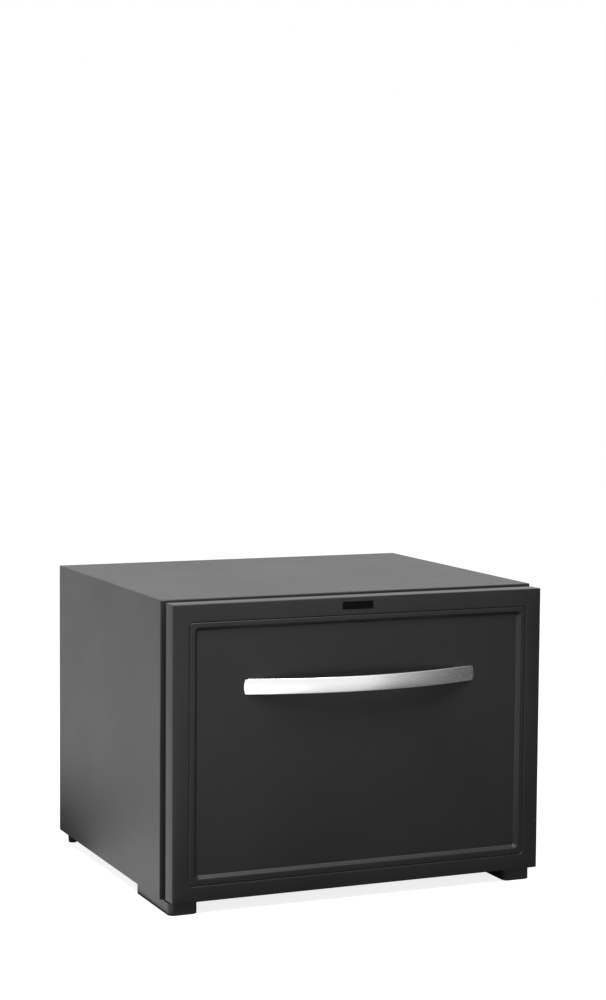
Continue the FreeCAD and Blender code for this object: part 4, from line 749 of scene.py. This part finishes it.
def makeCondenser(look):
    low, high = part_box("condenser")
    casingLow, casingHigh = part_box("boiler_casing")
    thick, pitch, half, corner = metres(look, "thick", "pitch", "half", "corner")
    startX, farX, crossZ = (casingLow.x + casingHigh.x) / 2, low.x + pipe, high.z - half
    turns = [(startX, casingHigh.z), (startX, crossZ), (farX, crossZ), (farX, stubZ), (-stubX, stubZ)]
    shapes = [unitPipe([(x, unitY, z) for x, z in turns], bend)]
    outline = roundedRing(low.y, high.y, crossZ - half, crossZ + half, corner, look["cornerSteps"])
    collar = [(along / 1000, pipe + r / 1000) for along, r in look["collar"]]
    for k in range(look["fins"]):
        x = farX + 2 * bend + k * pitch
        shapes.append(skin([[Vector((face, u, v)) for u, v in outline] for face in (x, x + thick)]))
        rings = lathe(Vector((x + thick, unitY, crossZ)), "X", collar, pipeLook["sides"])
        shapes.append(skin(rings, "open"))
    standIn("condenser", "condenserCoil", joined(*shapes))


def makeAbsorberCoil(look):
    low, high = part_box("absorber_coil")
    rise, drop, start, clear = metres(look, "firstRise", "lastDrop", "start", "clear")
    right, foot, pitch = high.x - pipe, low.z + rise, (stubZ - drop - low.z - rise) / (look["rows"] - 1)
    rows = [foot + k * pitch for k in range(look["rows"])]
    left = vesselLow.x
    turns = [(left + bend, vesselZ + start), (left + bend, rows[0]), (right, rows[0]), (right, rows[1]),
             (left, rows[1]), (left, rows[2]), (right, rows[2]), (right, rows[3]), (stubX, rows[3]),
             (stubX, stubZ - bend - clear)]
    coil = unitPipe([(x, unitY, z) for x, z in turns], look["bendShare"] * pitch)
    standIn("absorber_coil", "absorberCoil", coil)


def makeEvaporatorPipes(look):
    clear = look["clear"] / 1000
    down = stubZ - bend - clear
    elbow = unitPipe([(stubX, stubLow.y, stubZ), (stubX, unitY, stubZ), (stubX, unitY, down)], bend)
    stub = unitPipe([(-stubX, stubLow.y, stubZ), (-stubX, unitY + pipe + clear, stubZ)], bend)
    standIn("evaporator_pipes", "evaporatorPipes", joined(elbow, stub))


def makeVessel(look):
    r, long = (vesselHigh.z - vesselLow.z) / 2, vesselHigh.x - vesselLow.x
    nose, step, dish, curve = metres(look, "nose", "noseStep", "dishLong", "dishRound")
    profile = [(0, nose), (step, r * look["noseShare"])]
    for turn in range(0, 91, 15):
        profile.append((dish - polar(turn, dish)[0], r - curve + polar(turn, curve)[1]))
    profile += [(along / 1000, r + deep / 1000) for along, deep in look["seam"]]
    profile += [(long - along, radius) for along, radius in reversed(profile)]
    rings = lathe(Vector((vesselLow.x, unitY, vesselZ)), "X", profile, look["sides"])
    standIn("absorber_vessel", "absorberVessel", skin(rings), angle=50)


def makeExchanger(look):
    low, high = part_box("heat_exchanger")
    r = (high.z - low.z) / 2
    profile = [(along / 1000, r + deep / 1000) for along, deep in look["ease"]]
    profile += [(high.x - low.x - along, radius) for along, radius in reversed(profile)]
    rings = lathe(Vector((low.x, unitY, (low.z + high.z) / 2)), "X", profile, look["sides"])
    standIn("heat_exchanger", "heatExchanger", skin(rings))


makeCondenser(condenserLook)
makeAbsorberCoil(coilLook)
makeEvaporatorPipes(coilLook)
makeVessel(vesselLook)
makeExchanger(exchangerLook)
print("minibar: cooling unit")


# screws: turned heads with a cross recess; head pairs are shares of its height and radius
screwLook = {"headSides": 18, "slotWide": 0.9, "slotLong": 4.0, "slotDeep": 1.0, "slotPast": 1.0,
             "mostLong": 0.62, "mostDeep": 0.7, "tip": 0.1, "shank": 1.9, "shankSides": 12, "bite": 0.2,
             "pointFrom": 0.86, "turnEach": 0.7}
headLooks = {"domed": {"radius": 3.8, "tall": 2.2,
                       "head": ((0, 0.96), (0.35, 1), (0.62, 0.93), (0.85, 0.72), (1, 0.4))},
             "flush": {"radius": 3.2, "tall": 0.55, "head": ((0, 0.7), (0.9, 1), (1, 0.98))}}
# axis, the end of it where the head is, with 0 for inwards, and the kind of head
screwSets = {"unit_screws": ("Y", 1, "domed"), "evaporator_screws": ("Y", -1, "domed"),
             "carrier_screws": ("Y", 1, "domed"), "carrier_bolts": ("X", 0, "domed"),
             "foot_screws": ("Z", -1, "domed"), "slide_screws": ("X", 0, "flush")}


def crossHead(style, look):
    r, t = metres(style, "radius", "tall")
    wide, long, deep, past, tip = metres(look, "slotWide", "slotLong", "slotDeep", "slotPast", "tip")
    profile = [(t * up, r * share) for up, share in style["head"]] + [(t, tip)]
    a, b = wide / 2, min(long / 2, r * look["mostLong"])
    bottom, top = t - min(deep, t * look["mostDeep"]), t + past
    shapes = {"screwHead": skin(lathe(Vector((0, 0, 0)), "Z", profile, look["headSides"])),
              "slotA": slab((-a, -b, bottom), (a, b, top)), "slotB": slab((-b, -a, bottom), (b, a, top))}
    made = {}
    for label, (points, faces) in shapes.items():
        mesh = bpy.data.meshes.new(label)
        mesh.from_pydata(points, [], faces)
        made[label] = bpy.data.objects.new(label, mesh)
        bpy.context.scene.collection.objects.link(made[label])
    head = made["screwHead"]
    for label in ("slotA", "slotB"):
        cut = head.modifiers.new(label, "BOOLEAN")
        cut.object = made[label]
        cut.solver = "EXACT"
    ready = bpy.data.meshes.new_from_object(head.evaluated_get(bpy.context.evaluated_depsgraph_get()))
    shape = [v.co.copy() for v in ready.vertices], [tuple(face.vertices) for face in ready.polygons]
    for helper in made.values():
        bpy.data.objects.remove(helper)
    return shape


def makeScrews(node, axis, end, style, look):
    k = "XYZ".index(axis)
    points, faces = crossHead(headLooks[style], look)
    shank, bite = metres(look, "shank", "bite")
    tall = headLooks[style]["tall"] / 1000
    shapes = []
    for i, (low, high) in enumerate(islands(node)):
        side = end or (-1 if low.x > 0 else 1)
        out = Vector((0, 0, 0))
        out[k] = side
        seat, tip = (low + high) / 2, (low + high) / 2
        seat[k] = (high[k] if side > 0 else low[k]) - side * tall
        tip[k] = low[k] if side > 0 else high[k]
        turn = out.to_track_quat("Z", "Y").to_matrix().to_4x4()
        place = Matrix.Translation(seat) @ turn @ Matrix.Rotation(look["turnEach"] * i, 4, "Z")
        shapes.append(([place @ p for p in points], faces))
        path = [seat + out * bite, seat + (tip - seat) * look["pointFrom"], tip]
        if style == "flush":
            path = [path[0], tip]
        shapes.append(tubeAlong(path, shank, look["shankSides"]))
    first, second = node.split("_")
    standIn(node, first + second.title(), joined(*shapes))


for node, (axis, end, style) in screwSets.items():
    makeScrews(node, axis, end, style, screwLook)
print("minibar: screws")


# temperature knob with a fluted grip; rings are depth, share of the radius and share of the flutes
knobLook = {"flutes": 24, "fluteDeep": 0.45, "fluteSteps": 4, "shaft": 3,
            "rings": ((10.5, 0.98, 0.2), (9.9, 1.0, 1.0), (3.1, 0.985, 1.0), (2.0, 0.955, 0.6),
                      (1.5, 0.90, 0.0), (1.9, 0.78, 0.0), (1.9, 0.15, 0.0)),
            "pointer": {"half": 1.1, "from": 1.5, "to": 10, "deep": 2.1}}


def makeKnob(look):
    low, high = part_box("temperature_knob")
    x, z, r = (low.x + high.x) / 2, (low.z + high.z) / 2, (high.x - low.x) / 2
    sides = look["flutes"] * look["fluteSteps"]
    rings = []
    for depth, share, cut in look["rings"]:
        ring = []
        for k in range(sides):
            wave = 0.5 + 0.5 * math.cos(2 * math.pi * k / look["fluteSteps"])
            along, up = polar(360 * k / sides, r * share - cut * look["fluteDeep"] / 1000 * wave)
            ring.append(Vector((x + along, low.y + depth / 1000, z + up)))
        rings.append(ring)
    half, start, stop, deep = metres(look["pointer"], "half", "from", "to", "deep")
    pointer = slab((x - half, low.y, z + start), (x + half, low.y + deep, z + stop))
    back = low.y + look["rings"][0][0] / 1000
    shaft = tubeAlong([Vector((x, back, z)), Vector((x, high.y, z))], look["shaft"] / 1000)
    standIn("temperature_knob", "temperatureKnob", joined(skin(rings), shaft, pointer), angle=45)


# lamp lens with fine prisms across its face
lensLook = {"prisms": 24, "deep": 0.6}


def makeLens(look):
    low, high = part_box("lamp_lens")
    count = 2 * look["prisms"]
    points, faces = [], []
    for k in range(count + 1):
        x = low.x + (high.x - low.x) * k / count
        z = low.z if k % 2 else low.z + look["deep"] / 1000
        points += [Vector((x, y, level)) for level in (z, high.z) for y in (low.y, high.y)]
    for a in range(0, 4 * count, 4):
        b = a + 4
        faces += [(a, b, b + 1, a + 1), (a + 2, a + 3, b + 3, b + 2), (a, a + 2, b + 2, b),
                  (a + 1, b + 1, b + 3, a + 3)]
    last = 4 * count
    faces += [(0, 1, 3, 2), (last, last + 2, last + 3, last + 1)]
    standIn("lamp_lens", "lampLens", (points, faces), angle=20)


makeKnob(knobLook)
makeLens(lensLook)
print("minibar: knob and lens")


# cord gland: six-sided nut under a turned dome with its bore; pairs are out from the face and added radius
glandLook = {"bore": 3.6, "neck": 6.6, "neckEase": 0.4, "face": 11, "sides": 36,
             "dome": ((0, 0), (4.2, 0), (4.8, -0.4), (8.8, -0.7), (10.8, -1.4), (11.8, -2.4)),
             "mouth": ((12.0, 0.4), (11.6, 0)), "nut": ((0, -0.5), (0.5, 0), (3.4, 0), (4, -0.8)),
             "nutHigh": 4, "nutGap": 0.2}


def makeGland(look):
    low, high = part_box("cord_gland")
    centre = Vector(((low.x + high.x) / 2, low.y, (low.z + high.z) / 2))
    nutR = (high.x - low.x) / 2 * 1000
    bore, neck, face, ease = (look[key] for key in ("bore", "neck", "face", "neckEase"))
    profile = [(0, bore), (0, neck - ease), (ease, neck)]
    profile += [(face + out, neck + more) for out, more in look["dome"]]
    profile += [(face + out, bore + more) for out, more in look["mouth"]]
    profile = [(along / 1000, r / 1000) for along, r in profile]
    body = skin(lathe(centre, "Y", profile, look["sides"]), "looped")
    inner = neck - look["nutGap"]
    hexes = [(face, inner)] + [(face + out, nutR + more) for out, more in look["nut"]]
    hexes.append((face + look["nutHigh"], inner))
    rings = []
    for along, r in hexes:
        corners = [polar(60 * k, r / 1000) for k in range(6)]
        rings.append([centre + Vector((x, along / 1000, z)) for x, z in corners])
    standIn("cord_gland", "cordGland", joined(body, skin(rings, "open")), angle=30)


# drain hose of the drip gutter; drop and fill are shares of its radius
drainLook = {"bend": 6.75, "drop": 0.87, "fill": 0.985, "sides": 18}


def makeDrain(look):
    low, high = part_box("drain_tube")
    r = (high.x - low.x) / 2
    x, y, z = (low.x + high.x) / 2, high.y - r, high.z - r * look["drop"]
    path = bentPath([(x, low.y, z), (x, y, z), (x, y, low.z)], look["bend"] / 1000)
    standIn("drain_tube", "drainTube", tubeAlong(path, r * look["fill"], look["sides"]))


makeGland(glandLook)
makeDrain(drainLook)
print("minibar: gland and drain")


# stage, light and camera; the cards and mats are seen only in reflections, where they are painted shade: the
# cards paint darker surroundings, the mats paint the floor's shade near the object; their shapes are in
# metres
stageLook = {"floor": ("b4b4b4", "bcbcbc"), "size": 60.0, "floorGlow": 0.84, "world": 0.36,
             "card": {"from": 25, "to": 80, "away": 1.3, "tall": 1.1,
                      "tones": ("dcdcdc", "c4c4c4", "a8a8a8", "8c8c8c", "747474", "686868", "606060",
                                "5c5c5c", "585858")},
             "matLift": 0.0005,
             "shadeSheets": {"d2d2d2": ((-0.16, -0.85), (0.30, -0.85), (0.55, -1.18), (0.88, -1.90), (0.10, -1.90)),
                      "5e5e5e": ((-0.268, -0.25), (-0.24, -0.45), (-0.16, -0.85), (0.30, -0.85),
                                 (0.55, -1.18), (0.84, -0.99), (1.13, -0.65), (1.28, -0.23), (1.28, 0.9),
                                 (-0.38, 0.9), (-0.41, 0.40), (-0.268, 0.12))}}


def seenRays(tree):  # the rays that should meet a white background
    path = addNode(tree, "ShaderNodeLightPath")
    seen = sums(tree, "ADD", path.outputs["Is Camera Ray"], path.outputs["Is Glossy Ray"], True)
    return sums(tree, "ADD", seen, path.outputs["Is Transmission Ray"], True)


def stageMaterial(name, first, second, glow=0):
    material = bpy.data.materials.new(name)
    material.use_nodes = True
    tree = material.node_tree
    shader = tree.nodes["Principled BSDF"]
    shader.inputs["Roughness"].default_value = 0.9
    shader.inputs["Specular IOR Level"].default_value = 0
    pulp = addNode(tree, "ShaderNodeTexNoise", Scale=3.0, Detail=3.0)
    colour = blendColour(tree, pulp.outputs["Fac"], tone(first), tone(second))
    tree.links.new(colour, shader.inputs["Base Color"])
    if glow:
        shader.inputs["Emission Color"].default_value = (1, 1, 1, 1)
        tree.links.new(sums(tree, "MULTIPLY", seenRays(tree), glow), shader.inputs["Emission Strength"])
    return material


def stagePiece(name, points, material):  # one flat face
    mesh = bpy.data.meshes.new(name)
    mesh.from_pydata(points, [], [tuple(range(len(points)))])
    mesh.materials.append(material)
    piece = bpy.data.objects.new(name, mesh)
    bpy.context.scene.collection.objects.link(piece)
    return piece


def makeReflectors(look):
    card, faces = look["card"], []
    tones = card["tones"]
    # graded grey cards, seen only in reflections: painted shade of the surroundings
    for k, shade in enumerate(tones):
        feet = []
        for step in (k, k + 1):
            back, along = polar(card["from"] + (card["to"] - card["from"]) * step / len(tones), card["away"])
            feet.append(Vector((along, -back, 0)))
        up = Vector((0, 0, card["tall"]))
        faces.append((f"shadeCard{k + 1}", shade, [feet[0], feet[1], feet[1] + up, feet[0] + up]))
    # grey mats on the floor, seen only in reflections: painted shade of the floor around and in front of the
    # object
    for k, (shade, outline) in enumerate(look["shadeSheets"].items()):
        faces.append((f"shadeMat{k + 1}", shade, [(x, y, look["matLift"]) for x, y in outline]))
    for name, shade, points in faces:
        piece = stagePiece(name, points, stageMaterial(name, shade, shade))
        piece.visible_camera = piece.visible_diffuse = piece.visible_shadow = False


def makeStage(look):
    s = look["size"] / 2
    paper = stageMaterial("paleFloor", *look["floor"], look["floorGlow"])
    stagePiece("floor", [(-s, -s, 0), (s, -s, 0), (s, s, 0), (-s, s, 0)], paper)
    world = bpy.data.worlds.new("studio")
    bpy.context.scene.world = world
    world.use_nodes = True
    tree = world.node_tree
    tree.nodes.clear()
    light = addNode(tree, "ShaderNodeBackground", Strength=spread(tree, seenRays(tree), look["world"], 1.0))
    light.inputs["Color"].default_value = (1, 1, 1, 1)
    out = addNode(tree, "ShaderNodeOutputWorld")
    tree.links.new(light.outputs[0], out.inputs["Surface"])


lampAim = Vector((0, 0, 0.2))
lampLooks = {
    "key": {"at": (-0.05, -0.95, 2.1), "size": (1.2, 0.8), "watts": 40},
    "cornerSpot": {"at": (-0.97, -1.47, 1.84), "size": (0.42, 0.42), "watts": 24},
    "leftSoft": {"at": (-2.3, -1.2, 1.3), "size": (1.3, 1.5), "watts": 9},
}


def makeLamp(name, look):
    light = bpy.data.lights.new(name, "AREA")
    light.shape = "RECTANGLE"
    light.size, light.size_y = look["size"]
    light.energy = look["watts"]
    holder = bpy.data.objects.new(name, light)
    bpy.context.scene.collection.objects.link(holder)
    holder.location = look["at"]
    holder.rotation_euler = (lampAim - holder.location).to_track_quat("-Z", "Y").to_euler()
    holder.visible_camera = False


cameraLook = {"at": (-1.22170, -2.81735, 0.75600), "yaw": 23.589, "down": 4.546, "roll": 0.439,
              "lens": 79.556, "sensor": 36, "far": 100}


def makeCamera(look):
    yaw, down, roll = (math.radians(look[key]) for key in ("yaw", "down", "roll"))
    ahead = Vector((math.sin(yaw) * math.cos(down), math.cos(yaw) * math.cos(down), -math.sin(down)))
    right = Vector((math.cos(yaw), -math.sin(yaw), 0))
    up = right.cross(ahead)
    side = right * math.cos(roll) + up * math.sin(roll)
    over = up * math.cos(roll) - right * math.sin(roll)
    data = bpy.data.cameras.new("camera")
    data.lens, data.sensor_width, data.clip_end = look["lens"], look["sensor"], look["far"]
    camera = bpy.data.objects.new("camera", data)
    bpy.context.scene.collection.objects.link(camera)
    columns = Matrix((side, over, -ahead)).transposed()
    camera.matrix_world = Matrix.Translation(look["at"]) @ columns.to_4x4()
    bpy.context.scene.camera = camera


makeStage(stageLook)
makeReflectors(stageLook)
for name, look in lampLooks.items():
    makeLamp(name, look)
makeCamera(cameraLook)
bpy.context.scene.view_settings.view_transform = "Standard"
print("minibar: stage set")
